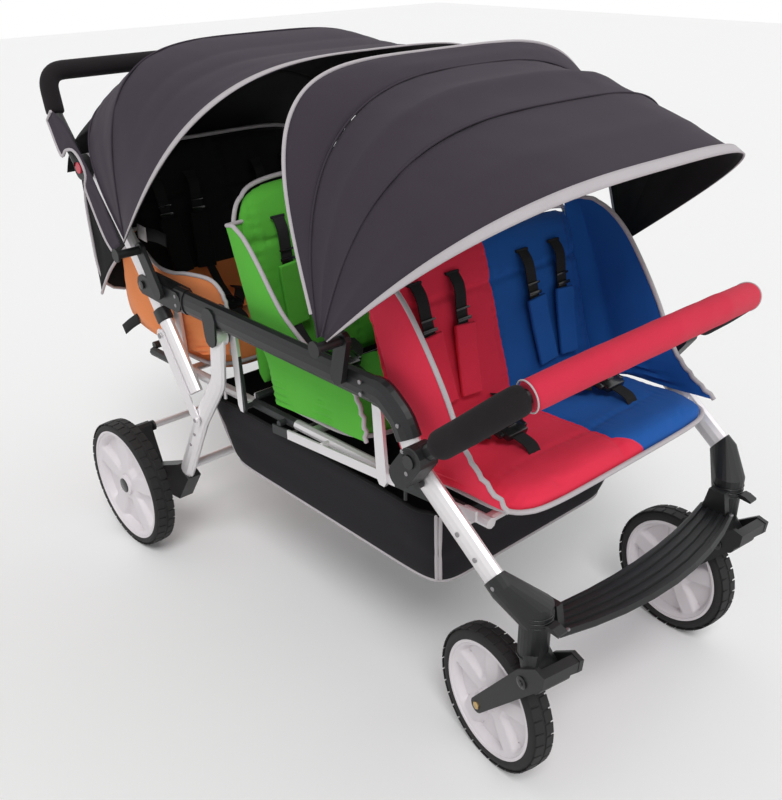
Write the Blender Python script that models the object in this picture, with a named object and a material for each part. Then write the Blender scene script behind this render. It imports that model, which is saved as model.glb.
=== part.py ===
import math

import bmesh
import bpy
from mathutils import Matrix, Vector

for leftover in list(bpy.data.objects):
    bpy.data.objects.remove(leftover, do_unlink=True)

# Metres. The front faces -Y, the floor is z = 0, the side name is the passenger's.
SHIFT_Y = -0.0139
CLEARANCE = 0.0003

TRACK = 0.300
TUBE_HALF_WIDTH = 0.012
RAIL_HALF_WIDTH = 0.014
RAIL_HALF_HEIGHT = 0.023
RAIL_Z = 0.619
RAIL_REAR_Y = 0.285
RAIL_FRONT_Y = -0.300
RAIL_END_Y = -0.352
RAIL_END_Z = 0.565
RAIL_CASTING = 0.002
CHEEK = 0.004
CLEVIS_REACH = 0.020

FOLD_Y = 0.391
FOLD_Z = 0.623
HANGER_Y = 0.160
HANGER_Z = 0.577
LEG_ROUND = 0.0187
LINK_TOP_Y = 0.348
LINK_TOP_Z = 0.529
LINK_FOOT_Y = 0.250
LINK_FOOT_Z = 0.378
LINK_THICK = 0.003
LINK_ROUND = 0.014
REAR_LEG_HALF = 0.019
REAR_FOOT_Y = 0.339
REAR_FOOT_Z = 0.221

FRONT_LEG_HALF = 0.021
LEG_KNEE_Y = -0.375
LEG_KNEE_Z = 0.522
LEG_FOOT_Y = -0.530
LEG_FOOT_RISE = 0.0713

TUBE_LOW_Y = 0.261
TUBE_LOW_Z = 0.431
JOINT_Y = 0.545
JOINT_Z = 0.827
JOINT_RADIUS = 0.024
JOINT_OUT = 0.005
JOINT_X = TRACK + JOINT_OUT
ARM_OUT = 0.025
ARM_X = JOINT_X + ARM_OUT
ARM_RADIUS = 0.0125
GRIP_RADIUS = 0.0175
GRIP_Y = 0.648
GRIP_Z = 0.992
GRIP_LOW_Y = 0.622
GRIP_LOW_Z = 0.915
BUTTON_RADIUS = 0.011
BUTTON_TRAVEL = 0.003
BUTTON_PROUD = 0.0035

REAR_AXLE_Y = 0.498
REAR_TYRE_RADIUS = 0.145
REAR_TYRE_THICK = 0.018
REAR_RIM_RADIUS = REAR_TYRE_RADIUS - REAR_TYRE_THICK
REAR_WHEEL_OUT = 0.055
REAR_WHEEL_X = TRACK + REAR_WHEEL_OUT
REAR_WHEEL_HALF = 0.0225
AXLE_RADIUS = 0.006
BRAKE_Y = 0.529
BRAKE_RISE = 0.102
BRAKE_Z = REAR_TYRE_RADIUS + BRAKE_RISE
BRAKE_RADIUS = 0.0085

SWIVEL_IN = 0.038
SWIVEL_X = TRACK - SWIVEL_IN
SWIVEL_Y = -0.580
SWIVEL_RADIUS = 0.024
CASTER_TRAIL = 0.082
FRONT_TYRE_RADIUS = 0.125
FRONT_TYRE_THICK = 0.021
FRONT_RIM_RADIUS = FRONT_TYRE_RADIUS - FRONT_TYRE_THICK
FRONT_WHEEL_HALF = 0.020
FORK_HALF = 0.038
FORK_ARM = 0.008
BOLT_AHEAD = 0.022
BOLT_RISE = 0.128
BOLT_Z = FRONT_TYRE_RADIUS + BOLT_RISE
BARREL_RISE = 0.0205
BARREL_LENGTH = 0.0612
SWIVEL_LOW = BOLT_Z + BARREL_RISE
SWIVEL_TOP = SWIVEL_LOW + BARREL_LENGTH
LEG_FOOT_Z = SWIVEL_TOP + LEG_FOOT_RISE
FOOTREST_RISE = 0.0315
TURN_RIGHT = math.radians(-9.4)
TURN_LEFT = math.radians(-5.3)

SEAT_SIDE_GAP = 0.028
WING_OUTER = TRACK - SEAT_SIDE_GAP
PAD_INSET = 0.0145
SEAT_HALF = WING_OUTER - PAD_INSET
MIDDLE_INSET = 0.0075
FRAME_BAR_IN = 0.046
FRAME_BAR_X = TRACK - FRAME_BAR_IN
FLAT_BAR_IN = 0.0235
FRAME_BAR_RADIUS = 0.0095
FRAME_CROSS_RADIUS = 0.0081
FRAME_BAR_FRONT_Z = 0.455
FRAME_BAR_REAR_Z = 0.430
FRAME_FRONT_Y = -0.480
FRAME_REAR_Y = 0.507
FRONT_HINGE_Y = -0.285
FRONT_HINGE_Z = 0.470
MIDDLE_HINGE_Y = 0.118
MIDDLE_HINGE_Z = 0.462
REAR_HINGE_Y = 0.500
REAR_HINGE_Z = 0.453
FRONT_LEAN = 17
MIDDLE_LEAN = 6
REAR_LEAN = 15
BACK_SET = 0.004
FRONT_PAD_START = -0.545
FRONT_PAD_END = -0.3112
FRONT_PAD_TOP = 0.514
FRONT_BACK_HEIGHT = 0.335
MIDDLE_PAD_START = -0.200
MIDDLE_PAD_END = 0.092
MIDDLE_PAD_TOP = 0.503
MIDDLE_BACK_HEIGHT = 0.385
REAR_PAD_START = 0.236
REAR_PAD_END = 0.4725
REAR_PAD_TOP = 0.512
REAR_BACK_HEIGHT = 0.400
PANEL_Y = 0.652
PANEL_Z = 0.655
PANEL_HALF_HEIGHT = 0.130
PANEL_BULGE = 0.030

HOOD_WALL = 0.003
HOOD_PIN = 0.008
FRONT_HOOD_Y = -0.2297
FRONT_HOOD_Z = 0.6913
REAR_HOOD_Y = 0.365
REAR_HOOD_Z = 0.700
HOOD_CAP_OUT = 0.076
FRONT_HEM_REACH = 0.406
FRONT_BOW_REACH = 0.350
FRONT_EDGE_REACH = 0.388
REAR_HEM_REACH = 0.486
REAR_BOW_REACH = 0.3525
REAR_EDGE_REACH = 0.346

BUMPER_OUT = 0.028
BUMPER_X = TRACK + BUMPER_OUT
BUMPER_Y = -0.405
BUMPER_Z = 0.566
BUMPER_RADIUS = 0.012
FOAM_RADIUS = 0.0235
BUMPER_IN = 0.036
BUMPER_WIDE = BUMPER_X - BUMPER_IN
BUMPER_SPLIT = 0.032 - BUMPER_WIDE
BRACKET_PROUD = 0.0225
BRACKET_OUTER = BUMPER_X + BRACKET_PROUD

BASKET_IN = 0.038
BASKET_HALF = TRACK - BASKET_IN
BASKET_FRONT = -0.380
BASKET_REAR = 0.300
BASKET_FLOOR = 0.250
BASKET_TOP = 0.417
BASKET_WALL = 0.004

white = (0.80, 0.78, 0.79, 1.0)
black = (0.020, 0.022, 0.022, 1.0)
charcoal = (0.085, 0.073, 0.085, 1.0)
grey = (0.72, 0.68, 0.70, 1.0)
red = (0.62, 0.045, 0.085, 1.0)
green = (0.11, 0.40, 0.075, 1.0)
orange = (0.82, 0.27, 0.09, 1.0)
foam = (0.028, 0.026, 0.027, 1.0)
rubber = (0.022, 0.020, 0.020, 1.0)


def ring_solid(rings, closed=False):
    mesh = bmesh.new()
    rows = [[mesh.verts.new(point) for point in ring] for ring in rings]
    pairs = list(zip(rows, rows[1:]))
    if closed:
        pairs.append((rows[-1], rows[0]))
    for low, high in pairs:
        count = len(low)
        for index in range(count):
            after = (index + 1) % count
            mesh.faces.new((low[index], low[after], high[after], high[index]))
    if not closed:
        mesh.faces.new(rows[0])
        mesh.faces.new(rows[-1])
    return piece(mesh)


def piece(mesh):
    bmesh.ops.remove_doubles(mesh, verts=mesh.verts, dist=1e-5)
    bmesh.ops.recalc_face_normals(mesh, faces=mesh.faces)
    if mesh.calc_volume(signed=True) < 0:
        bmesh.ops.reverse_faces(mesh, faces=mesh.faces)
    data = bpy.data.meshes.new("piece")
    mesh.to_mesh(data)
    mesh.free()
    item = bpy.data.objects.new("piece", data)
    bpy.context.scene.collection.objects.link(item)
    return item


def combine(base, tool, operation):
    step = base.modifiers.new("combine", "BOOLEAN")
    step.operation = operation
    step.solver = "EXACT"
    step.object = tool
    bpy.context.view_layer.objects.active = base
    bpy.ops.object.modifier_apply(modifier=step.name)
    bpy.data.objects.remove(tool, do_unlink=True)
    return base


def union(*items):
    base = items[0]
    for tool in items[1:]:
        combine(base, tool, "UNION")
    return base


def cut(base, *tools):
    for tool in tools:
        combine(base, tool, "DIFFERENCE")
    return base


def rounded(points, radius, steps=3):
    points = [Vector(point) for point in points]
    path = [points[0]]
    for before, corner, after in zip(points, points[1:], points[2:]):
        inward = (before - corner).normalized()
        outward = (after - corner).normalized()
        half = inward.angle(outward) / 2
        if half > math.radians(89):
            path.append(corner)
            continue
        reach = min(
            radius / math.tan(half),
            (before - corner).length * 0.48,
            (after - corner).length * 0.48,
        )
        start = corner + inward * reach
        end = corner + outward * reach
        for step in range(steps + 1):
            share = step / steps
            along = start.lerp(corner, share).lerp(corner.lerp(end, share), share)
            path.append(along)
    path.append(points[-1])
    return path


def section(path, index, side, half_side, half_height, count):
    before = path[max(index - 1, 0)]
    after = path[min(index + 1, len(path) - 1)]
    along = (after - before).normalized()
    across = (side - along * side.dot(along)).normalized()
    up = along.cross(across)
    ring = []
    for step in range(count):
        turn = 2 * math.pi * step / count
        ring.append(
            path[index]
            + across * half_side * math.cos(turn)
            + up * half_height * math.sin(turn)
        )
    return ring


def sweep(path, half_side, half_height, side=(1, 0, 0), count=12):
    path = [Vector(point) for point in path]
    side = Vector(side)
    return ring_solid([
        section(path, index, side, half_side, half_height, count)
        for index in range(len(path))
    ])


def sleeve(path, inner, outer, side, count=12):
    path = [Vector(point) for point in path]
    side = Vector(side)
    last = len(path) - 1
    rings = [section(path, index, side, outer, outer, count) for index in range(last + 1)]
    for index in range(last, -1, -1):
        rings.append(section(path, index, side, inner, inner, count))
    return ring_solid(rings, closed=True)


def rod(start, end, radius, count=14):
    start = Vector(start)
    end = Vector(end)
    side = Vector((0, 0, 1))
    if abs((end - start).normalized().z) > 0.9:
        side = Vector((1, 0, 0))
    return sweep([start, end], radius, radius, side, count)


def plate(outline, near, far):
    return ring_solid([
        [(near, y, z) for y, z in outline],
        [(far, y, z) for y, z in outline],
    ])


def block(near, far):
    outline = [(near[1], near[2]), (far[1], near[2]), (far[1], far[2]), (near[1], far[2])]
    return plate(outline, near[0], far[0])


def disc(centre, radius, count=12):
    ring = []
    for step in range(count):
        turn = 2 * math.pi * step / count
        ring.append((centre[0] + radius * math.cos(turn), centre[1] + radius * math.sin(turn)))
    return ring


def wrap(points):
    mesh = bmesh.new()
    for point in points:
        mesh.verts.new(point)
    made = bmesh.ops.convex_hull(mesh, input=mesh.verts)
    spare = [item for item in made["geom_interior"] if isinstance(item, bmesh.types.BMVert)]
    spare += [item for item in made["geom_unused"] if isinstance(item, bmesh.types.BMVert)]
    bmesh.ops.delete(mesh, geom=list(set(spare)), context="VERTS")
    return piece(mesh)


def strap(near, far, first, first_radius, second, second_radius, count=10):
    points = []
    for x in (near, far):
        points += [(x, y, z) for y, z in disc(first, first_radius, count)]
        points += [(x, y, z) for y, z in disc(second, second_radius, count)]
    return wrap(points)


def lathe(profile, centre, turn, count=28):
    axis = Vector((math.cos(turn), math.sin(turn), 0))
    rings = []
    for step in range(count):
        angle = 2 * math.pi * step / count
        outward = Vector((-axis.y, axis.x, 0)) * math.cos(angle) + Vector((0, 0, 1)) * math.sin(angle)
        rings.append([Vector(centre) + axis * along + outward * radius for along, radius in profile])
    return ring_solid(rings, closed=True)


def finish(name, item, origin, colour, roughness, metallic=0.0, smooth=True):
    origin = Vector(origin)
    item.data.transform(Matrix.Translation(-origin))
    item.location = origin + Vector((0, SHIFT_Y, 0))
    item.name = name
    item.data.name = name
    item.data.materials.clear()
    coat = bpy.data.materials.new(name + "_coat")
    coat.use_nodes = True
    shader = coat.node_tree.nodes["Principled BSDF"]
    shader.inputs["Base Color"].default_value = colour
    shader.inputs["Roughness"].default_value = roughness
    shader.inputs["Metallic"].default_value = metallic
    item.data.materials.append(coat)
    if smooth:
        bpy.context.view_layer.objects.active = item
        item.select_set(True)
        bpy.ops.object.shade_smooth()
        item.data.set_sharp_from_angle(angle=math.radians(38))
        item.select_set(False)
    return item


def bar_z(y):
    share = (y - FRAME_REAR_Y) / (FRAME_FRONT_Y - FRAME_REAR_Y)
    return FRAME_BAR_REAR_Z + share * (FRAME_BAR_FRONT_Z - FRAME_BAR_REAR_Z)


def rail(name, s):
    x = s * TRACK
    down = Vector((0, LEG_KNEE_Y - RAIL_END_Y, LEG_KNEE_Z - RAIL_END_Z)).normalized()
    end = Vector((x, RAIL_END_Y, RAIL_END_Z))
    path = rounded([(x, RAIL_REAR_Y, RAIL_Z), (x, RAIL_FRONT_Y, RAIL_Z), end - down * 0.030, end], 0.05)
    body = sweep(path, RAIL_HALF_WIDTH, RAIL_HALF_HEIGHT)
    casting = rounded([(x, RAIL_FRONT_Y + 0.02, RAIL_Z), (x, RAIL_FRONT_Y, RAIL_Z),
                       end - down * 0.030, end], 0.05)
    grown = RAIL_CASTING
    body = union(body, sweep(casting, RAIL_HALF_WIDTH + grown, RAIL_HALF_HEIGHT + grown))
    rear = sweep([(x, RAIL_REAR_Y, RAIL_Z), (x, RAIL_REAR_Y - 0.035, RAIL_Z)],
                 TUBE_HALF_WIDTH + CLEARANCE + CHEEK, RAIL_HALF_HEIGHT + grown)
    body = union(body, rear)
    gap = TUBE_HALF_WIDTH + CLEARANCE
    for side in (-1, 1):
        near = x + side * gap
        far = x + side * (gap + CHEEK)
        cheek = strap(near, far, (RAIL_REAR_Y - 0.012, RAIL_Z), 0.021, (FOLD_Y, FOLD_Z), CLEVIS_REACH)
        hanger = strap(near, far, (HANGER_Y, RAIL_Z - 0.004), 0.021, (HANGER_Y, HANGER_Z), 0.017)
        body = union(body, cheek, hanger)
    pin = rod((x - gap - CHEEK - 0.003, FOLD_Y, FOLD_Z), (x + gap + CHEEK + 0.003, FOLD_Y, FOLD_Z), 0.0065)
    hanger_pin = rod((x - gap - 0.002, HANGER_Y, HANGER_Z), (x + gap + 0.002, HANGER_Y, HANGER_Z), 0.005)
    body = union(body, pin, hanger_pin)
    finish(name, body, (x, 0, RAIL_Z), white, 0.32, 0.75)


def front_leg(name, s):
    x = s * TRACK
    down = Vector((0, LEG_KNEE_Y - RAIL_END_Y, LEG_KNEE_Z - RAIL_END_Z)).normalized()
    start = Vector((x, RAIL_END_Y, RAIL_END_Z)) + down * CLEARANCE
    path = rounded([start, (x, LEG_KNEE_Y, LEG_KNEE_Z), (x, LEG_FOOT_Y, LEG_FOOT_Z)], 0.045)
    finish(name, sweep(path, TUBE_HALF_WIDTH, FRONT_LEG_HALF), start, white, 0.32, 0.75)


def front_socket(name, s):
    x = s * TRACK
    along = Vector((0, LEG_FOOT_Y - LEG_KNEE_Y, LEG_FOOT_Z - LEG_KNEE_Z)).normalized()
    start = Vector((x, LEG_FOOT_Y, LEG_FOOT_Z)) + along * CLEARANCE
    points = []
    path = [start, start + along * 0.022]
    for index in range(2):
        points += section(path, index, Vector((1, 0, 0)), 0.0145, 0.0235, 16)
    barrel = SWIVEL_RADIUS + 0.002
    low = SWIVEL_TOP + CLEARANCE
    for z in (low, low + 0.036):
        points += [(s * SWIVEL_X + a, SWIVEL_Y + b, z) for a, b in disc((0, 0), barrel, 20)]
    body = wrap(points)
    stem = rod((s * SWIVEL_X, SWIVEL_Y, low + 0.02), (s * SWIVEL_X, SWIVEL_Y, SWIVEL_LOW + 0.012), 0.007)
    finish(name, union(body, stem), (s * SWIVEL_X, SWIVEL_Y, low), black, 0.45)


def swivel_lock(name, s):
    x = s * SWIVEL_X
    front = SWIVEL_Y - SWIVEL_RADIUS - 0.002 - 0.0008
    z = SWIVEL_TOP + 0.010
    outline = [(front, z - 0.0022), (front, z + 0.0022), (front - 0.003, z + 0.004), (front - 0.012,
            z + 0.003),
               (front - 0.024, z - 0.002), (front - 0.024, z - 0.006), (front - 0.003, z - 0.004)]
    finish(name, plate(outline, x - 0.010, x + 0.010), (x, front - 0.004, z), black, 0.45)


def caster(side, s, turn):
    x = s * SWIVEL_X
    centre = Vector((x, SWIVEL_Y, 0))
    ahead = Vector((math.sin(turn), -math.cos(turn), 0))
    axis = Vector((math.cos(turn), math.sin(turn), 0))
    bolt = centre + ahead * BOLT_AHEAD + Vector((0, 0, BOLT_Z))
    axle = centre - ahead * CASTER_TRAIL + Vector((0, 0, FRONT_TYRE_RADIUS))
    inner = FORK_HALF - FORK_ARM

    def spot(point, across, forward, z):
        return point + axis * across + ahead * forward + Vector((0, 0, z))

    barrel = rod(centre + Vector((0, 0, SWIVEL_LOW)), centre + Vector((0, 0, SWIVEL_TOP)),
            SWIVEL_RADIUS, 24)
    nose = []
    width = inner - 0.003
    for across in (-width, width):
        for a, b in disc((0, 0), 0.013, 14):
            nose.append(spot(bolt, across, a, b))
    for a, b in disc((0, 0), SWIVEL_RADIUS - 0.002, 16):
        nose.append(spot(centre, a, b, SWIVEL_LOW + 0.001))
        nose.append(spot(centre, a, b, SWIVEL_LOW + 0.018))
    yoke = union(barrel, wrap(nose))
    bore = rod(centre + Vector((0, 0, SWIVEL_LOW + 0.010)), centre + Vector((0, 0, SWIVEL_TOP + 0.01)),
            0.0073)
    hole = rod(bolt - axis * 0.06, bolt + axis * 0.06, 0.0053)
    yoke = cut(yoke, bore, hole)
    finish("caster_yoke_" + side, yoke, centre + Vector((0, 0, SWIVEL_TOP)), black, 0.45)

    fork = None
    for across in (-1, 1):
        points = []
        for reach in (inner, FORK_HALF):
            for a, b in disc((0, 0), 0.014, 14):
                points.append(spot(axle, across * reach, a, b))
            for a, b in disc((0, 0), 0.020, 14):
                points.append(spot(bolt, across * reach, a, b))
            points.append(spot(bolt, across * reach, 0.044, 0.018))
            points.append(spot(bolt, across * reach, 0.046, 0.040))
            points.append(spot(bolt, across * reach, 0.026, 0.044))
        arm = wrap(points)
        fork = arm if fork is None else union(fork, arm)
    crown = wrap([spot(bolt, across * (inner + 0.004), forward, z)
                  for across in (-1, 1) for forward, z in
                  ((0.030, 0.020), (0.0435, 0.019), (0.0450, 0.039), (0.0290, 0.042))])
    axle_pin = rod(axle - axis * (inner + 0.004), axle + axis * (inner + 0.004), 0.005)
    bolt_pin = rod(bolt - axis * (inner + 0.004), bolt + axis * (inner + 0.004), 0.005)
    fork = union(fork, crown, axle_pin, bolt_pin)
    finish("fork_" + side, fork, bolt, black, 0.42)
    wheel("front", side, axle, turn, FRONT_TYRE_RADIUS, FRONT_RIM_RADIUS, FRONT_WHEEL_HALF, 0.0053,
          FORK_HALF - FORK_ARM - 0.0015)


def wheel(row, side, centre, turn, tyre_radius, rim_radius, half, bore, hub_half):
    lip = half - 0.003
    wall = 0.008
    ring = lathe([(-lip, rim_radius), (lip, rim_radius), (lip, rim_radius - wall),
                  (0, rim_radius - wall - 0.002), (-lip, rim_radius - wall)], centre, turn, 28)
    hub = lathe([(-hub_half, bore), (-hub_half, 0.021), (0, 0.025), (hub_half, 0.021), (hub_half, bore)],
                centre, turn, 16)
    rim = union(ring, hub)
    axis = Vector((math.cos(turn), math.sin(turn), 0))
    for number in range(5):
        angle = math.radians(90 + 72 * number)
        out = Vector((-axis.y, axis.x, 0)) * math.cos(angle) + Vector((0, 0, 1)) * math.sin(angle)
        over = axis.cross(out)
        points = []
        for along, reach, spread in ((0.010, 0.014, 0.010), (0.011, rim_radius - 0.003, 0.017)):
            for a in (-along, along):
                for b in (-spread, spread):
                    points.append(Vector(centre) + axis * a + out * reach + over * b)
        rim = union(rim, wrap(points))
    finish(row + "_rim_" + side, rim, centre, grey, 0.4)
    inside = rim_radius + CLEARANCE
    tyre = lathe([(-half + 0.002, inside), (-half, inside + 0.008), (-half + 0.004, tyre_radius - 0.003),
                  (-half * 0.4, tyre_radius), (half * 0.4, tyre_radius), (half - 0.004,
                  tyre_radius - 0.003),
                  (half, inside + 0.008), (half - 0.002, inside)], centre, turn, 28)
    finish(row + "_tyre_" + side, tyre, centre, rubber, 0.8)


def rear_leg(name, s):
    x = s * TRACK
    path = rounded([(x, HANGER_Y, HANGER_Z), (x, HANGER_Y + 0.012, HANGER_Z - 0.095),
                    (x, LINK_FOOT_Y, LINK_FOOT_Z), (x, REAR_FOOT_Y, REAR_FOOT_Z)], 0.06)
    body = sweep(path, TUBE_HALF_WIDTH, REAR_LEG_HALF)
    top = rod((x - TUBE_HALF_WIDTH, HANGER_Y, HANGER_Z), (x + TUBE_HALF_WIDTH, HANGER_Y, HANGER_Z),
            LEG_ROUND, 24)
    body = union(body, top)
    body = cut(body, rod((x - 0.05, HANGER_Y, HANGER_Z), (x + 0.05, HANGER_Y, HANGER_Z), 0.0053))
    finish(name, body, (x, HANGER_Y, HANGER_Z), white, 0.32, 0.75)


def link_plate(name, s):
    near = s * (TRACK + TUBE_HALF_WIDTH + CLEARANCE)
    far = near + s * LINK_THICK
    body = strap(near, far, (LINK_TOP_Y, LINK_TOP_Z), LINK_ROUND, (LINK_FOOT_Y, LINK_FOOT_Z), LINK_ROUND)
    body = cut(body, rod((near - s * 0.02, LINK_TOP_Y, LINK_TOP_Z), (far + s * 0.02, LINK_TOP_Y,
            LINK_TOP_Z), 0.0038))
    head = rod((far - s * 0.001, LINK_FOOT_Y, LINK_FOOT_Z), (far + s * 0.003, LINK_FOOT_Y, LINK_FOOT_Z),
            0.0065)
    body = union(body, head)
    finish(name, body, (near, LINK_TOP_Y, LINK_TOP_Z), (0.25, 0.25, 0.26, 1.0), 0.4, 0.7)


def wheel_bracket(name, s):
    near = s * (TRACK - 0.020)
    far = s * (TRACK + TUBE_HALF_WIDTH)
    foot = Vector((0, REAR_FOOT_Y, REAR_FOOT_Z))
    along = (foot - Vector((0, LINK_FOOT_Y, LINK_FOOT_Z))).normalized()
    start = foot + along * CLEARANCE
    across = Vector((0, -along.z, along.y))
    top = [start + across * 0.021, start - across * 0.021]
    points = []
    for x in (near, far):
        points += [(x, spot.y, spot.z) for spot in top]
        points += [(x, y, z) for y, z in disc((REAR_AXLE_Y, REAR_TYRE_RADIUS), 0.022, 16)]
        points.append((x, REAR_FOOT_Y + 0.030, REAR_FOOT_Z - 0.080))
    body = wrap(points)
    ear = strap(near, far, (REAR_AXLE_Y, REAR_TYRE_RADIUS), 0.0205, (BRAKE_Y, BRAKE_Z), 0.014)
    body = union(body, ear)
    tip = s * (REAR_WHEEL_X + REAR_WHEEL_HALF - 0.002)
    pin = rod((s * TRACK, REAR_AXLE_Y, REAR_TYRE_RADIUS), (tip, REAR_AXLE_Y, REAR_TYRE_RADIUS), AXLE_RADIUS)
    finish(name, union(body, pin), (s * TRACK, REAR_AXLE_Y, REAR_TYRE_RADIUS), black, 0.45)


def handle_tube(name, s):
    x = s * TRACK
    top = s * JOINT_X
    path = rounded([(x, TUBE_LOW_Y, TUBE_LOW_Z), (x, FOLD_Y, FOLD_Z),
                    (x, FOLD_Y + 0.035, FOLD_Z + 0.049), (top, JOINT_Y, JOINT_Z)], 0.05, 2)
    body = sweep(path, TUBE_HALF_WIDTH, 0.019)
    inner = s * (JOINT_X - TUBE_HALF_WIDTH)
    outer = s * (JOINT_X + TUBE_HALF_WIDTH)
    body = union(body, rod((inner, JOINT_Y, JOINT_Z), (outer, JOINT_Y, JOINT_Z), JOINT_RADIUS, 24))
    body = cut(body, rod((x - 0.05, FOLD_Y, FOLD_Z), (x + 0.05, FOLD_Y, FOLD_Z), 0.0068))
    outside = x + s * (TUBE_HALF_WIDTH + CLEARANCE + LINK_THICK + 0.003)
    body = union(body, rod((x, LINK_TOP_Y, LINK_TOP_Z), (outside, LINK_TOP_Y, LINK_TOP_Z), 0.0035))
    finish(name, body, (x, FOLD_Y, FOLD_Z), white, 0.32, 0.75)


def bow_path():
    joint = Vector((ARM_X, JOINT_Y, JOINT_Z))
    low = Vector((ARM_X, GRIP_LOW_Y, GRIP_LOW_Z))
    elbow = Vector((ARM_X - 0.004, GRIP_Y, GRIP_Z))
    half = [joint, low, elbow]
    other = [Vector((-point.x, point.y, point.z)) for point in reversed(half)]
    return rounded(half + other, 0.052, 4)


def grip_path():
    path = bow_path()
    first = [index for index, point in enumerate(path) if point.z > GRIP_LOW_Z][0]
    start = path[first].lerp(path[first + 1], 0.2)
    end = Vector((-start.x, start.y, start.z))
    return [start] + path[first + 1:-first - 1] + [end]


def handle():
    normal = Vector((0, -0.85, 0.5))
    bow = sweep(bow_path(), ARM_RADIUS, ARM_RADIUS, normal)
    near = JOINT_X + TUBE_HALF_WIDTH + CLEARANCE
    far = near + 0.018
    for s in (-1, 1):
        shell = rod((s * near, JOINT_Y, JOINT_Z), (s * far, JOINT_Y, JOINT_Z), JOINT_RADIUS, 24)
        bow = union(bow, shell)
        trim = block((s * (near - 0.04), JOINT_Y - 0.04, JOINT_Z - 0.04), (s * near, JOINT_Y + 0.04,
                JOINT_Z + 0.04))
        depth = BUTTON_TRAVEL + BUTTON_PROUD + 0.001
        pocket = rod((s * (far - depth), JOINT_Y, JOINT_Z), (s * (far + 0.02), JOINT_Y, JOINT_Z),
                     BUTTON_RADIUS + CLEARANCE, 20)
        bow = cut(bow, trim, pocket)
        side = "left" if s > 0 else "right"
        button = rod((s * (far - BUTTON_PROUD), JOINT_Y, JOINT_Z), (s * (far + BUTTON_PROUD), JOINT_Y,
                JOINT_Z),
                     BUTTON_RADIUS, 20)
        finish("fold_button_" + side, button, (s * far, JOINT_Y, JOINT_Z), red, 0.4)
    finish("handle_bow", bow, (0, JOINT_Y, JOINT_Z), black, 0.4)
    grip = sleeve(grip_path(), ARM_RADIUS + CLEARANCE, GRIP_RADIUS, normal)
    finish("handle_grip", grip, (0, JOINT_Y, JOINT_Z), foam, 0.9)


def hood(name, pivot, angles, half_width, reach, square, steps, colour=charcoal, wall=HOOD_WALL):
    rings = []
    count = 16
    tip = HOOD_PIN + CLEARANCE
    for step in range(steps + 1):
        share = step / steps
        angle = math.radians(angles[0] + (angles[1] - angles[0]) * share)
        wide = half_width[0] + (half_width[1] - half_width[0]) * share
        far = reach[0] + (reach[1] - reach[0]) * share ** reach[2]
        power = square[0] + (square[1] - square[0]) * share
        ring = []
        for inset in (0, wall):
            a = wide - inset
            b = far - inset
            start = math.asin((tip / b) ** (power / 2))
            row = []
            for index in range(count + 1):
                turn = start + (math.pi - 2 * start) * index / count
                x = a * math.copysign(abs(math.cos(turn)) ** (2 / power), math.cos(turn))
                radius = b * abs(math.sin(turn)) ** (2 / power)
                row.append((x, pivot[0] - math.cos(angle) * radius, pivot[1] + math.sin(angle) * radius))
            ring += row if inset == 0 else list(reversed(row))
        rings.append(ring)
    finish(name, ring_solid(rings), (0, pivot[0], pivot[1]), colour, 0.9)


def hood_clamp(name, s, pivot, foot, near, thick, boss):
    inner = s * near
    outer = s * (near + thick)
    cap_end = TRACK + HOOD_CAP_OUT
    body = strap(inner, outer, foot, 0.014, pivot, 0.014)
    pin = rod((s * (near + 0.002), pivot[0], pivot[1]), (s * (cap_end - 0.004), pivot[0], pivot[1]),
            HOOD_PIN, 20)
    cap = rod((s * (cap_end - 0.0043), pivot[0], pivot[1]), (s * cap_end, pivot[0], pivot[1]), 0.013, 20)
    seat_boss = rod((s * (near - boss), foot[0], foot[1]), (s * (near + 0.004), foot[0], foot[1]), 0.009)
    finish(name, union(body, pin, cap, seat_boss), (inner, pivot[0], pivot[1]), black, 0.45)


def cushion(centre, along, up, half_width, half_length, upper, lower, seam=0.006, columns=14, rows=7):
    mesh = bmesh.new()
    centre = Vector(centre)
    along = Vector(along).normalized()
    up = Vector(up).normalized()
    sheets = []
    for side in (1, -1):
        sheet = []
        for row in range(rows + 1):
            v = math.sin(math.pi * (row / rows - 0.5))
            line = []
            for column in range(columns + 1):
                u = math.sin(math.pi * (column / columns - 0.5))
                shape = (max(0.0, 1 - abs(u) ** 8) * max(0.0, 1 - abs(v) ** 6)) ** 0.5
                height = (upper if side > 0 else lower) * shape
                if side > 0:
                    crown = 0.80 + 0.20 * abs(math.sin(math.pi * u)) * math.cos(math.pi * v / 2)
                    height *= crown
                    height -= seam * math.exp(-(u / 0.12) ** 2) * shape
                    height -= 0.5 * seam * math.exp(-((v - 0.15) / 0.12) ** 2) * shape
                edge = 1 - 0.02 * abs(u) ** 3 * (1 - v * v) * 0.5
                spot = centre + Vector((1, 0, 0)) * half_width * u + along * half_length * v * edge
                line.append(mesh.verts.new(spot + up * height * side))
            sheet.append(line)
        sheets.append(sheet)
    for sheet in sheets:
        for row in range(rows):
            for column in range(columns):
                mesh.faces.new((sheet[row][column], sheet[row][column + 1],
                                sheet[row + 1][column + 1], sheet[row + 1][column]))
    return piece(mesh)


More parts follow.
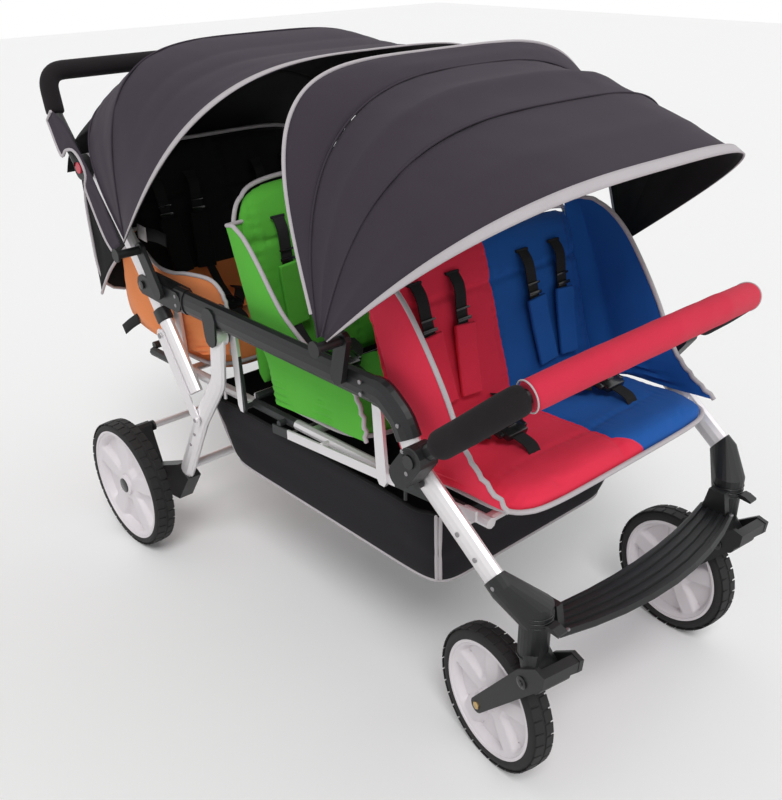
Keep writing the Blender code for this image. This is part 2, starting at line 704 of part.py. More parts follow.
def seat(row, pad_front, pad_rear, top_z, hinge, lean, height, wing, half, colour):
    middle = (pad_front + pad_rear) / 2
    base = bar_z(middle) + FRAME_CROSS_RADIUS + 2 * CLEARANCE
    thick = top_z - base
    slope = Vector((0, pad_rear - pad_front, bar_z(pad_rear) - bar_z(pad_front)))
    up = Vector((0, -slope.z, slope.y))
    pad = cushion((0, middle, base + thick * 0.36), slope, up, SEAT_HALF,
                  (pad_rear - pad_front) / 2, thick * 0.62, thick * 0.36)
    finish("seat_pad_" + row, pad, (0, hinge[0], hinge[1]), colour, 0.85)
    tilt = math.radians(lean)
    along = Vector((0, math.sin(tilt), math.cos(tilt)))
    face = Vector((0, -math.cos(tilt), math.sin(tilt)))
    start = Vector((0, hinge[0], hinge[1]))
    centre = start + along * (height / 2) - face * BACK_SET
    slab = cushion(centre, along, face, half, height / 2, 0.022, 0.016)
    outline = []
    for rise, reach in wing + [(0.93, 0.0), (0.13, 0.0)]:
        spot = start + along * height * rise + face * height * reach
        outline.append((spot.y, spot.z))
    for s in (-1, 1):
        slab = union(slab, plate(outline, s * (half - 0.018), s * WING_OUTER))
    finish("seat_back_" + row, slab, (0, hinge[0], hinge[1]), colour, 0.85)


def back_face(z):
    lean = math.radians(REAR_LEAN)
    return REAR_HINGE_Y + (z - REAR_HINGE_Z) * math.tan(lean) + 0.020 / math.cos(lean) + 2 * CLEARANCE


def seat_frame():
    low = FRAME_BAR_RADIUS
    body = None
    for s in (-1, 1):
        x = s * FRAME_BAR_X
        side = sweep([(x, FRAME_FRONT_Y, bar_z(FRAME_FRONT_Y)), (x, FRAME_REAR_Y, bar_z(FRAME_REAR_Y))],
                     low, low, count=8)
        body = side if body is None else union(body, side)
    crosses = [(y, bar_z(y) + 0.0003) for y in (FRAME_FRONT_Y + 0.012, -0.050, 0.360)]
    for y, z, lean in ((FRONT_HINGE_Y, FRONT_HINGE_Z, FRONT_LEAN), (MIDDLE_HINGE_Y, MIDDLE_HINGE_Z,
            MIDDLE_LEAN),
                       (REAR_HINGE_Y, REAR_HINGE_Z, REAR_LEAN)):
        back = math.radians(lean)
        low = z - BACK_SET * math.sin(back) - FRAME_CROSS_RADIUS - CLEARANCE
        crosses.append((y + BACK_SET * math.cos(back), low))
    end = FRAME_BAR_X - 0.0013
    for y, z in crosses:
        body = union(body, rod((-end, y, z), (end, y, z), FRAME_CROSS_RADIUS, 10))
    for s in (-1, 1):
        flat = [(0.038, 0.418), (0.038, 0.436), (-0.470, 0.4805), (-0.470, 0.4625)]
        strip = TRACK - FLAT_BAR_IN
        body = union(body, plate(flat, s * (strip - 0.002), s * (strip + 0.002)))
        for y in (-0.452, -0.105, 0.020):
            z = bar_z(y)
            body = union(body, rod((s * (FRAME_BAR_X + 0.0017), y, z), (s * strip, y, z), 0.006, 7))
        for y in (-0.300, 0.220):
            x = s * (FRAME_BAR_X + 0.0057)
            body = union(body, rod((x, y, BASKET_TOP + CLEARANCE), (x, y, bar_z(y)), 0.0035, 7))
        for y, end_z in ((-0.268, RAIL_Z - 0.010), (0.128, RAIL_Z - 0.010), (0.325, RAIL_Z)):
            z = bar_z(y)
            body = union(body, strap(s * (strip - 0.0003), s * (strip + 0.0063), (y, z), 0.012,
                    (y + 0.012, end_z), 0.010, 6))
            body = union(body, rod((s * (FRAME_BAR_X + 0.0017), y, z), (s * (strip + 0.003), y, z),
                    0.007, 7))
    finish("seat_frame", body, (0, 0, FRAME_BAR_REAR_Z), white, 0.35, 0.7)


def basket():
    middle = (BASKET_FRONT + BASKET_REAR) / 2
    half = (BASKET_REAR - BASKET_FRONT) / 2

    def outline(wide, long, z, corner):
        ring = []
        for a, b, first in ((1, 1, 0), (-1, 1, 90), (-1, -1, 180), (1, -1, 270)):
            for step in range(4):
                turn = math.radians(first + 30 * step)
                x = a * (wide - corner) + corner * math.cos(turn)
                y = b * (long - corner) + corner * math.sin(turn)
                ring.append((x, middle + y, z))
            ring.append(None)
        points = []
        for index, point in enumerate(ring):
            if point is not None:
                points.append(point)
                continue
            before = ring[index - 1]
            after = ring[(index + 1) % len(ring)]
            bow = 0.006 if z < BASKET_TOP - 0.01 and z > BASKET_FLOOR + 0.03 else 0.0
            for share in (0.33, 0.67):
                spot = Vector(before).lerp(Vector(after), share)
                inward = Vector((-spot.x, middle - spot.y, 0)).normalized() * bow
                points.append(tuple(spot + inward))
        return points

    rise = BASKET_TOP - BASKET_FLOOR
    outside = ((BASKET_HALF - 0.037, half - 0.034, 0.0, 0.03), (BASKET_HALF - 0.022, half - 0.020,
            0.006, 0.035),
               (BASKET_HALF - 0.010, half - 0.010, 0.5, 0.04), (BASKET_HALF, half, 0.88, 0.04),
               (BASKET_HALF, half, 1.0, 0.04))
    rings = [outline(w, l, BASKET_FLOOR + rise * share, corner) for w, l, share, corner in outside]
    for w, l, share, corner in reversed(outside[1:]):
        z = BASKET_FLOOR + rise * share
        rings.append(outline(w - BASKET_WALL, l - BASKET_WALL, max(z, BASKET_FLOOR + BASKET_WALL), corner))
    body = ring_solid(rings)
    finish("basket", body, (0, middle, BASKET_FLOOR), charcoal, 0.9)


def footrest():
    half = SWIVEL_X - SWIVEL_RADIUS - 0.002 - 0.0008
    low = SWIVEL_LOW + FOOTREST_RISE
    lug_top = low + 0.051
    rings = []
    for step in range(9):
        x = -half + 2 * half * step / 8
        bow = 1 - (x / half) ** 2
        front = SWIVEL_Y - 0.032 - 0.043 * bow
        rear = SWIVEL_Y + 0.032 - 0.026 * bow
        ring = [(x, rear, low), (x, front + 0.004, low), (x, front, low + 0.005)]
        for number in range(5):
            y = front + (rear - front) * (number + 0.3) / 5
            width = (rear - front) / 5
            ring += [(x, y - width * 0.12, low + 0.009), (x, y, low + 0.013),
                     (x, y + width * 0.35, low + 0.013), (x, y + width * 0.47, low + 0.009)]
        ring.append((x, rear, low + 0.008))
        rings.append(ring)
    body = ring_solid(rings)
    for s in (-1, 1):
        lug = wrap([(s * x, y, z) for x in (half - 0.014, half)
                    for y, z in ((SWIVEL_Y - 0.026, low + 0.002), (SWIVEL_Y + 0.024, low + 0.002),
                                 (SWIVEL_Y - 0.016, lug_top), (SWIVEL_Y + 0.014, lug_top))])
        body = union(body, lug)
    finish("footrest", body, (0, -0.6, low), black, 0.5)


def bumper():
    slide = Vector((0, -0.760, 0.650)).normalized()
    normal = Vector((0, 0.650, 0.760)).normalized()
    seat_at = Vector((BUMPER_X, BUMPER_Y, BUMPER_Z))
    start = seat_at - slide * 0.048
    straight = seat_at + slide * 0.030
    leave = seat_at + slide * 0.052
    shoulder = Vector((BUMPER_X - 0.008, BUMPER_Y - 0.084, BUMPER_Z + 0.072))
    corner = Vector((BUMPER_WIDE, BUMPER_Y - 0.138, BUMPER_Z + 0.122))
    near_middle = Vector((BUMPER_WIDE / 2, BUMPER_Y - 0.166, BUMPER_Z + 0.144))
    far_middle = Vector((-BUMPER_WIDE / 2, BUMPER_Y - 0.166, BUMPER_Z + 0.144))
    middle = Vector((0, BUMPER_Y - 0.174, BUMPER_Z + 0.150))
    half = [start, straight, leave, shoulder, corner]
    other = [Vector((-point.x, point.y, point.z)) for point in reversed(half)]
    path = rounded(half + [near_middle, middle, far_middle] + other, 0.045, 2)
    finish("bumper_tube", sweep(path, BUMPER_RADIUS, BUMPER_RADIUS, normal), (0, BUMPER_Y, BUMPER_Z),
            black, 0.4)
    gap = BUMPER_RADIUS + CLEARANCE
    path = [Vector(point) for point in path]
    before = [index for index, point in enumerate(path) if point.x > BUMPER_SPLIT][-1]
    share = (path[before].x - BUMPER_SPLIT) / (path[before].x - path[before + 1].x)
    edge = before + 1
    path.insert(edge, path[before].lerp(path[edge], share))
    cover = [point for index,
            point in enumerate(path) if index <= edge and (leave - point).dot(slide) < -0.012]
    cover = [point for point in cover if point.y < leave.y - 0.004]
    cover_end = cover[-1]
    rest = [point for index, point in enumerate(path) if index > edge and point.y < leave.y - 0.004]
    next_start = cover_end + (rest[0] - cover_end).normalized() * 0.0025
    finish("bumper_sleeve", sleeve(cover, gap, FOAM_RADIUS, normal), (0, BUMPER_Y, BUMPER_Z), red, 0.85)
    finish("bumper_foam", sleeve([next_start] + rest, gap, FOAM_RADIUS, normal), (0, BUMPER_Y,
            BUMPER_Z), foam, 0.9)
    for s in (-1, 1):
        inner = TRACK + TUBE_HALF_WIDTH + 0.0025
        spot = Vector((0, BUMPER_Y, BUMPER_Z))
        low = spot - slide * 0.034
        high = spot + slide * 0.004
        points = []
        for x in (inner, BRACKET_OUTER):
            for a, b in disc((0, 0), 0.021, 16):
                points.append((s * x, high.y + a, high.z + b))
                points.append((s * x, low.y + a - 0.004, low.z + b - 0.010))
        body = wrap(points)
        bore = rod(Vector((s * BUMPER_X, spot.y, spot.z)) - slide * 0.09,
                   Vector((s * BUMPER_X, spot.y, spot.z)) + slide * 0.09, BUMPER_RADIUS + CLEARANCE, 24)
        pocket = rod((s * (BRACKET_OUTER - 0.0045), BUMPER_Y, BUMPER_Z), (s * (BRACKET_OUTER + 0.02),
                BUMPER_Y, BUMPER_Z),
                     BUTTON_RADIUS + CLEARANCE, 20)
        leg_face = TRACK + TUBE_HALF_WIDTH + CLEARANCE
        foot_y = BUMPER_Y + 0.015
        foot_z = BUMPER_Z - 0.0552
        foot = rod((s * leg_face, foot_y, foot_z), (s * (leg_face + 0.010), foot_y, foot_z), 0.008)
        body = union(body, foot)
        side = "left" if s > 0 else "right"
        finish("bumper_bracket_" + side, cut(body, bore, pocket), (s * inner, BUMPER_Y, BUMPER_Z),
                black, 0.45)
        button = rod((s * (BRACKET_OUTER - 0.001), BUMPER_Y, BUMPER_Z),
                     (s * (BRACKET_OUTER + 0.003), BUMPER_Y, BUMPER_Z), BUTTON_RADIUS, 20)
        finish("bumper_button_" + side, button, (s * BRACKET_OUTER, BUMPER_Y, BUMPER_Z), black, 0.4)


for side_name, sign, caster_turn in (("left", 1, TURN_LEFT), ("right", -1, TURN_RIGHT)):
    rail("rail_" + side_name, sign)
    front_leg("front_leg_" + side_name, sign)
    front_socket("front_socket_" + side_name, sign)
    swivel_lock("swivel_lock_" + side_name, sign)
    caster(side_name, sign, caster_turn)
    rear_leg("rear_leg_" + side_name, sign)
    link_plate("link_plate_" + side_name, sign)
    wheel_bracket("wheel_bracket_" + side_name, sign)
    hub_at = (sign * REAR_WHEEL_X, REAR_AXLE_Y, REAR_TYRE_RADIUS)
    wheel("rear", side_name, hub_at, 0.0, REAR_TYRE_RADIUS, REAR_RIM_RADIUS, REAR_WHEEL_HALF,
          AXLE_RADIUS + CLEARANCE, REAR_WHEEL_HALF - 0.004)
    handle_tube("handle_tube_" + side_name, sign)
    hood_clamp("front_canopy_clamp_" + side_name, sign, (FRONT_HOOD_Y, FRONT_HOOD_Z),
            (FRONT_HOOD_Y + 0.0147, RAIL_Z + 0.009),
               TRACK + RAIL_HALF_WIDTH + CLEARANCE + 0.001, 0.010, 0.001)
    clamp_boss = 0.0023
    clamp_x = TRACK + TUBE_HALF_WIDTH + CHEEK + 2 * CLEARANCE + clamp_boss
    hood_clamp("rear_canopy_clamp_" + side_name, sign, (REAR_HOOD_Y, REAR_HOOD_Z),
               (REAR_HOOD_Y - 0.047, RAIL_Z + 0.009), clamp_x + 0.0003, 0.008, clamp_boss + 0.0003)

cross_z = REAR_FOOT_Z + 0.0135
cross_y = REAR_FOOT_Y - 0.0135 * (REAR_FOOT_Y - LINK_FOOT_Y) / (LINK_FOOT_Z - REAR_FOOT_Z)
cross_half = TRACK - TUBE_HALF_WIDTH - CLEARANCE
finish("rear_cross_tube", rod((-cross_half, cross_y, cross_z), (cross_half, cross_y, cross_z), 0.0095),
       (0, cross_y, cross_z), grey, 0.4, 0.4)
brake_half = TRACK - 0.020 - CLEARANCE
finish("brake_bar", rod((-brake_half, BRAKE_Y, BRAKE_Z), (brake_half, BRAKE_Y, BRAKE_Z), BRAKE_RADIUS),
       (0, BRAKE_Y, BRAKE_Z), grey, 0.4, 0.4)
handle()
seat_frame()
basket()
footrest()
bumper()

seat("front", FRONT_PAD_START, FRONT_PAD_END, FRONT_PAD_TOP, (FRONT_HINGE_Y, FRONT_HINGE_Z), FRONT_LEAN,
     FRONT_BACK_HEIGHT, [(-0.0317, 0.5428), (0.0287, 0.58), (0.2183, 0.5724), (0.7419, 0.2892), (0.9597,
             0.128)],
     SEAT_HALF, (0.55, 0.05, 0.09, 1.0))
seat("middle", MIDDLE_PAD_START, MIDDLE_PAD_END, MIDDLE_PAD_TOP, (MIDDLE_HINGE_Y, MIDDLE_HINGE_Z),
        MIDDLE_LEAN,
     MIDDLE_BACK_HEIGHT, [(0.0465, 0.6265), (0.1347, 0.6566), (0.2932, 0.3912), (0.5705, 0.2376),
             (0.9619, 0.1168)],
     SEAT_HALF - MIDDLE_INSET, green)
seat("rear", REAR_PAD_START, REAR_PAD_END, REAR_PAD_TOP, (REAR_HINGE_Y, REAR_HINGE_Z), REAR_LEAN,
     REAR_BACK_HEIGHT, [(-0.033, 0.7029), (0.2672, 0.8092), (0.3657, 0.538), (0.5464, 0.2499), (0.9339,
             0.1079)],
     SEAT_HALF, orange)

panel_half = TRACK - 0.015
panel = cushion((0, PANEL_Y, PANEL_Z), (0, 0.05, 1), (0, 1, -0.05), panel_half, PANEL_HALF_HEIGHT,
        PANEL_BULGE, 0.006,
                0.003, 10, 6)
link_low = PANEL_Z - 0.055
link_top = PANEL_Z + 0.035
link = wrap([(x, y, z) for x in (-panel_half * 0.35, panel_half * 0.35)
             for y, z in ((back_face(link_low), link_low), (back_face(link_top), link_top),
                          (PANEL_Y + 0.003, link_low), (PANEL_Y + 0.003, link_top))])
finish("back_panel", union(panel, link), (0, REAR_HINGE_Y, REAR_HINGE_Z), black, 0.9)

front_pivot = (FRONT_HOOD_Y, FRONT_HOOD_Z)
rear_pivot = (REAR_HOOD_Y, REAR_HOOD_Z)
mid_half = TRACK + 0.0565
front_half = TRACK + 0.063
edge_half = TRACK + 0.070
hood("front_canopy_mid", front_pivot, (96.5, 68.6), (mid_half, mid_half),
     (FRONT_BOW_REACH, FRONT_BOW_REACH - 0.004, 1), (3.1, 3.2), 4)
hood("front_canopy_front", front_pivot, (68.0, 38.1), (front_half, front_half + 0.0016),
     (FRONT_BOW_REACH + 0.006, FRONT_HEM_REACH, 2), (3.2, 3.2), 5)
hood("front_canopy_rear", front_pivot, (107.4, 97.5), (edge_half, edge_half - 0.001),
     (FRONT_EDGE_REACH, FRONT_EDGE_REACH - 0.020, 1), (4.6, 3.4), 2)
rear_half = TRACK + 0.044
hood("rear_canopy_front", rear_pivot, (93.7, 46.0), (rear_half + 0.006, rear_half + 0.024),
     (REAR_BOW_REACH, REAR_HEM_REACH, 3.4), (4.0, 3.6), 7)
hood("rear_canopy_rear", rear_pivot, (125.0, 94.2), (rear_half - 0.001, rear_half),
     (REAR_EDGE_REACH, REAR_EDGE_REACH + 0.001, 1), (3.7, 3.7), 4)
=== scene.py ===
from math import copysign, cos, exp, pi, radians, sin, tan

import bmesh
import bpy
from mathutils import Matrix, Vector, noise


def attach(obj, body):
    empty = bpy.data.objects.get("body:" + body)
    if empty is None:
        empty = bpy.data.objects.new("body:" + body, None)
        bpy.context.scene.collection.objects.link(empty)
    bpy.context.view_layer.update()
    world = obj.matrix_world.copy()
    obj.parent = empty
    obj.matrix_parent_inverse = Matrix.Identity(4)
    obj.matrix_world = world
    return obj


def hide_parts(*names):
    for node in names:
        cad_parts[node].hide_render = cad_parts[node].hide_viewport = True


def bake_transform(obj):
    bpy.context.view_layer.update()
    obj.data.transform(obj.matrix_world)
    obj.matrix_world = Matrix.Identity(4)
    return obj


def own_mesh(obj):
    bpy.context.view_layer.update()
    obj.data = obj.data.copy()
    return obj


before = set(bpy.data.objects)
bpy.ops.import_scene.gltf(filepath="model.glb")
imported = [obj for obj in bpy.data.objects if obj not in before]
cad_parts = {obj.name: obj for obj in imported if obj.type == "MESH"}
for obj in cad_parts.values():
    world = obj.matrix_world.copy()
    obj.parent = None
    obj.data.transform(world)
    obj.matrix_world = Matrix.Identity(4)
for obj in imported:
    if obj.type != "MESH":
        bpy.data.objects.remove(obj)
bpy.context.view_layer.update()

shiftY = -0.0139  # part.py moves everything by this to centre its box
hands = (("Left", 1), ("Right", -1))


def at(x, y, z):
    return Vector((x, y + shiftY, z))


def say(stage):
    print("stage:", stage)


def ripple(x, y, z):
    return noise.noise(Vector((x, y, z)))


def linked(name, data):
    piece = bpy.data.objects.new(name, data)
    bpy.context.scene.collection.objects.link(piece)
    return piece


def asData(name, mesh):
    data = bpy.data.meshes.new(name)
    mesh.to_mesh(data)
    mesh.free()
    return data


# camera, light and floor: the camera stands where the photo was taken from
cameraLook = {"place": at(-1.1521, -1.2648, 1.2334), "yaw": 0.7287, "pitch": 0.5036, "roll": -0.0157,
              "lens": 42.98, "shiftX": 0.0005, "shiftY": 0.0626}


def addCamera():
    look = cameraLook
    ahead = Vector((sin(look["yaw"]) * cos(look["pitch"]),
                    cos(look["yaw"]) * cos(look["pitch"]), -sin(look["pitch"])))
    right = ahead.cross(Vector((0, 0, 1))).normalized()
    up = right.cross(ahead)
    turnedRight = right * cos(look["roll"]) + up * sin(look["roll"])
    turnedUp = up * cos(look["roll"]) - right * sin(look["roll"])
    lens = bpy.data.cameras.new("photoCamera")
    lens.sensor_width = 36
    lens.sensor_fit = "AUTO"
    lens.lens = look["lens"]
    lens.shift_x = look["shiftX"]
    lens.shift_y = look["shiftY"]
    camera = linked("photoCamera", lens)
    basis = Matrix((turnedRight, turnedUp, -ahead)).transposed().to_4x4()
    camera.matrix_world = Matrix.Translation(look["place"]) @ basis
    bpy.context.scene.camera = camera


def addLamp(name, aim, strength, spread):
    lamp = bpy.data.lights.new(name, "SUN")
    lamp.energy = strength
    lamp.angle = radians(spread)
    linked(name, lamp).rotation_euler = Vector(aim).to_track_quat("-Z", "Y").to_euler()


def addSurroundings():
    # white walls that light softly, two lamps and a paper floor
    world = bpy.data.worlds.new("whiteRoom")
    bpy.context.scene.world = world
    world.use_nodes = True
    tree = world.node_tree
    tree.nodes.clear()
    rays = addNode(tree, "LightPath").outputs
    direct = sums(tree, "MAXIMUM", rays["Is Camera Ray"], rays["Is Glossy Ray"])
    seen = sums(tree, "MAXIMUM", direct, rays["Is Transmission Ray"])
    soft, bright = [addNode(tree, "Background", {"Color": (1, 1, 1, 1), "Strength": strength}).outputs[0]
                    for strength in (0.55, 1.0)]
    mix = addNode(tree, "MixShader", {0: seen, 1: soft, 2: bright})
    addNode(tree, "OutputWorld", {"Surface": mix.outputs[0]})
    bpy.context.scene.view_settings.view_transform = "Standard"
    addLamp("keyLamp", (0.45, 0.55, -0.95), 1.35, 25)
    addLamp("fillLamp", (-0.7, 0.2, -0.5), 0.35, 60)
    paper = bpy.data.materials.new("floorPaper")
    paper.use_nodes = True
    setInputs(paper.node_tree, paper.node_tree.nodes["Principled BSDF"],
              {"Base Color": (0.93, 0.93, 0.93, 1), "Roughness": 0.9})
    mesh = bmesh.new()
    bmesh.ops.create_grid(mesh, x_segments=1, y_segments=1, size=12)
    floor = linked("studioFloor", asData("studioFloor", mesh))
    floor.data.materials.append(paper)


# node helpers and shared effects
def setInputs(tree, node, values):
    for key, value in values.items():
        if isinstance(value, bpy.types.NodeSocket):
            tree.links.new(value, node.inputs[key])
        else:
            node.inputs[key].default_value = value


def addNode(tree, kind, inputs=None, **settings):
    made = tree.nodes.new("ShaderNode" + kind)
    for key, value in settings.items():
        setattr(made, key, value)
    setInputs(tree, made, inputs or {})
    return made


def sums(tree, operation, first, second=0.0):
    return addNode(tree, "Math", {0: first, 1: second}, operation=operation).outputs[0]


def newGroup(name):
    # every effect takes a place and two scales, and gives a height and a shade
    group = bpy.data.node_groups.new(name, "ShaderNodeTree")
    for title, way, kind in (("Vector", "INPUT", "Vector"), ("Threads", "INPUT", "Float"), ("Mottle", "INPUT", "Float"),
                             ("Height", "OUTPUT", "Float"), ("Shade", "OUTPUT", "Float")):
        group.interface.new_socket(name=title, in_out=way, socket_type="NodeSocket" + kind)
    return group, group.nodes.new("NodeGroupInput").outputs, group.nodes.new("NodeGroupOutput").inputs


def clothGroup():
    group, given, result = newGroup("clothWeave")
    scaled = addNode(group, "VectorMath", {0: given["Vector"], "Scale": given["Threads"]}, operation="SCALE")
    parts = addNode(group, "SeparateXYZ", {0: scaled.outputs[0]}).outputs
    x, y, z = [sums(group, "SINE", parts[axis]) for axis in range(3)]
    flat, front, side = [sums(group, "MULTIPLY", first, second) for first, second in ((x, y), (x, z), (y, z))]
    weave = sums(group, "ADD", sums(group, "ADD", flat, front), side)
    fuzz = addNode(group, "TexNoise", {"Vector": given["Vector"], "Scale": 420.0, "Detail": 3.0}).outputs["Fac"]
    group.links.new(sums(group, "ADD", sums(group, "MULTIPLY", weave, 0.25), fuzz), result["Height"])
    broad = addNode(group, "TexNoise", {"Vector": given["Vector"], "Scale": given["Mottle"], "Detail": 4.0,
                                        "Roughness": 0.6}).outputs["Fac"]
    mixed = sums(group, "ADD", sums(group, "MULTIPLY", broad, 0.7), sums(group, "MULTIPLY", fuzz, 0.3))
    group.links.new(mixed, result["Shade"])
    return group


def noiseGroup(name, stretch, fineDetail, broadDetail, roughness):
    # fine noise raises the surface and broad noise shades it
    group, given, result = newGroup(name)
    place = addNode(group, "VectorMath", {0: given["Vector"], 1: stretch}, operation="MULTIPLY").outputs[0]
    fine = addNode(group, "TexNoise", {"Vector": place, "Scale": given["Threads"], "Detail": fineDetail})
    broad = addNode(group, "TexNoise", {"Vector": given["Vector"], "Scale": given["Mottle"], "Detail": broadDetail,
                                        "Roughness": roughness})
    group.links.new(fine.outputs["Fac"], result["Height"])
    group.links.new(broad.outputs["Fac"], result["Shade"])
    return group


effects = {"cloth": clothGroup(), "grain": noiseGroup("mouldGrain", (1, 1, 1), 2.0, 5.0, 0.65),
           "brush": noiseGroup("drawnMetal", (1, 0.06, 1), 3.0, 4.0, 0.5)}


def colourMix(tree, share, first, second):
    return addNode(tree, "Mix", {0: share, 6: first, 7: second}, data_type="RGBA").outputs[2]


def finish(name, colour, rough, effect, threads, mottle, bump, depth, tint, metal=0.0, sheen=0.0, coat=0.0,
           second=None, mask=None):
    # one finish: an effect group shades the colour and roughness and raises the surface
    surface = bpy.data.materials.new(name)
    surface.use_nodes = True
    tree = surface.node_tree
    place = addNode(tree, "TexCoord").outputs["Object"]
    group = addNode(tree, "Group", {"Vector": place, "Threads": threads, "Mottle": mottle},
                    node_tree=effects[effect]).outputs
    tones = []
    for base in (colour, second or colour):
        dark = tuple(channel * (1 - tint) for channel in base) + (1,)
        light = tuple(min(1, channel * (1 + tint)) for channel in base) + (1,)
        tones.append(colourMix(tree, group["Shade"], dark, light))
    shade = tones[0]
    roughness = sums(tree, "ADD", sums(tree, "MULTIPLY", group["Shade"], 0.16), rough - 0.08)
    if second:
        select = mask(tree, place)
        shade = colourMix(tree, select, *tones)
        if metal:
            metal = sums(tree, "MULTIPLY", sums(tree, "SUBTRACT", 1.0, select), metal)
            roughness = sums(tree, "ADD", roughness, sums(tree, "MULTIPLY", select, 0.12))
    raised = addNode(tree, "Bump", {"Height": group["Height"], "Strength": bump, "Distance": depth})
    setInputs(tree, tree.nodes["Principled BSDF"], {
        "Base Color": shade, "Roughness": roughness, "Metallic": metal, "Sheen Weight": sheen, "Coat Weight": coat,
        "Specular IOR Level": 0.16 if effect == "cloth" or rough > 0.9 else 0.42, "Normal": raised.outputs["Normal"]})
    return surface


def sideMask(edge, curl=0.0, frontY=0.0):
    # 1 on the far seat; the boundary drifts outward past frontY. On the orange seat this far half takes a painted shade
    # colour; on the red and blue seat it is the blue cloth
    def build(tree, place):
        parts = addNode(tree, "SeparateXYZ", {0: place})
        ahead = sums(tree, "MAXIMUM", sums(tree, "SUBTRACT", frontY + shiftY, parts.outputs[1]), 0.0)
        drift = sums(tree, "MULTIPLY", ahead, curl)
        return sums(tree, "GREATER_THAN", parts.outputs[0], sums(tree, "ADD", drift, edge))
    return build


def heightMask(edge):
    # 1 above the edge height; on the rear seat's back this marks the painted shade
    def build(tree, place):
        parts = addNode(tree, "SeparateXYZ", {0: place})
        return sums(tree, "GREATER_THAN", parts.outputs[2], edge)
    return build


def frameMask(tree, place):
    # black sleeves along the seat frame between the white stretches
    parts = addNode(tree, "SeparateXYZ", {0: place})
    wave = sums(tree, "SINE", sums(tree, "MULTIPLY", sums(tree, "ADD", parts.outputs[1], 0.06), 15.0))
    return sums(tree, "GREATER_THAN", wave, 0.55)


# roughness, effect, threads, mottle, bump, depth and tint that several finishes share
drawnTube = (0.36, "brush", 500, 9, 0.05, 0.0003, 0.03)
seatCloth = (0.84, "cloth", 2400, 13, 0.35, 0.0005, 0.09)
padCloth = (0.82, "cloth", 2400, 14, 0.4, 0.0006, 0.1)
panelCloth = (0.88, "cloth", 2400, 18, 0.4, 0.0006, 0.22)
nearRed, farBlue = (0.8, 0.036, 0.08), (0.014, 0.105, 0.4)
# the orange seat's far half is painted shade: a dark orange-red stands in for the shadow inside the seat
nearOrange, paintedShadeOrange = (0.86, 0.27, 0.085), (0.22, 0.03, 0.025)

finishes = {
    "satin": finish("satinAluminium", (0.8, 0.775, 0.79), *drawnTube, metal=0.55),
    "rail": finish("railBlack", (0.016, 0.0165, 0.018), 0.38, "brush", 900, 12, 0.06, 0.0003, 0.15, metal=0.2),
    "seatFrame": finish("seatFrameTube", (0.78, 0.76, 0.775), *drawnTube, metal=0.5, second=(0.022, 0.024, 0.025),
                        mask=frameMask),
    "plate": finish("platedSteel", (0.3, 0.29, 0.3), 0.38, "brush", 700, 12, 0.08, 0.0003, 0.1, metal=0.8),
    "black": finish("mouldedBlack", (0.01, 0.0105, 0.0112), 0.46, "grain", 1400, 16, 0.12, 0.0004, 0.22),
    "gloss": finish("smoothBlack", (0.009, 0.0095, 0.01), 0.26, "grain", 300, 10, 0.03, 0.0003, 0.15, coat=0.2),
    "rim": finish("rimGrey", (0.72, 0.68, 0.705), 0.42, "grain", 900, 9, 0.06, 0.0003, 0.03),
    "tyre": finish("tyreRubber", (0.011, 0.0105, 0.0105), 0.72, "grain", 700, 22, 0.25, 0.0005, 0.28),
    "foam": finish("gripFoam", (0.017, 0.014, 0.016), 0.92, "grain", 1700, 30, 0.6, 0.0008, 0.3, sheen=0.04),
    "brass": finish("axleBrass", (0.62, 0.44, 0.2), 0.34, "brush", 700, 12, 0.08, 0.0003, 0.1, metal=0.85),
    "redPlastic": finish("buttonRed", (0.58, 0.03, 0.06), 0.34, "grain", 500, 9, 0.05, 0.0003, 0.06, coat=0.2),
    "canopy": finish("canopyCloth", (0.047, 0.037, 0.051), 0.88, "cloth", 2600, 16, 0.35, 0.0005, 0.16, sheen=0.05),
    "lining": finish("canopyLining", (0.014, 0.013, 0.014), 0.92, "cloth", 2600, 16, 0.3, 0.0005, 0.2),
    "binding": finish("greyBinding", (0.52, 0.485, 0.505), 0.82, "cloth", 3600, 30, 0.5, 0.0005, 0.1, sheen=0.1),
    "basket": finish("basketCloth", (0.012, 0.0105, 0.013), *panelCloth, sheen=0.03),
    "blackCloth": finish("panelCloth", (0.01, 0.01, 0.011), *panelCloth, sheen=0.03),
    "webbing": finish("harnessWebbing", (0.018, 0.018, 0.019), 0.74, "cloth", 3200, 40, 0.7, 0.0007, 0.2),
    "green": finish("seatGreen", (0.105, 0.47, 0.05), *seatCloth, sheen=0.05),
    # the rear seat's back: orange below 0.585 m and painted near black above it, a painted shade for the dark under the
    # rear canopy
    "orangeBack": finish("seatOrangeBack", nearOrange, *seatCloth, sheen=0.05, second=(0.01, 0.01, 0.011),
                         mask=heightMask(0.585)),
    "white": finish("labelWhite", (0.78, 0.76, 0.77), 0.7, "cloth", 3000, 20, 0.2, 0.0003, 0.03),
    # the orange seat, its far half coloured in painted shade
    "orange": finish("seatOrange", nearOrange, *seatCloth, sheen=0.12, second=paintedShadeOrange, mask=sideMask(0.004)),
    "redBlue": finish("seatRedBlue", nearRed, *seatCloth, sheen=0.05, second=farBlue,
                      mask=sideMask(0.004, 1.1, -0.5)),
    "redCloth": finish("bumperRed", (0.66, 0.032, 0.07), *padCloth, sheen=0.05),
    "redOnly": finish("padRed", nearRed, *padCloth, sheen=0.05),
    "blueOnly": finish("padBlue", farBlue, *padCloth, sheen=0.05),
}
say("finishes")


# mesh helpers, and sizes of sewn edges and cloth
seatPiping, edgePiping, clothWall, tapeWall = 0.0042, 0.0032, 0.0014, 0.0022
weldGap, sharpDegrees = 0.00002, 42


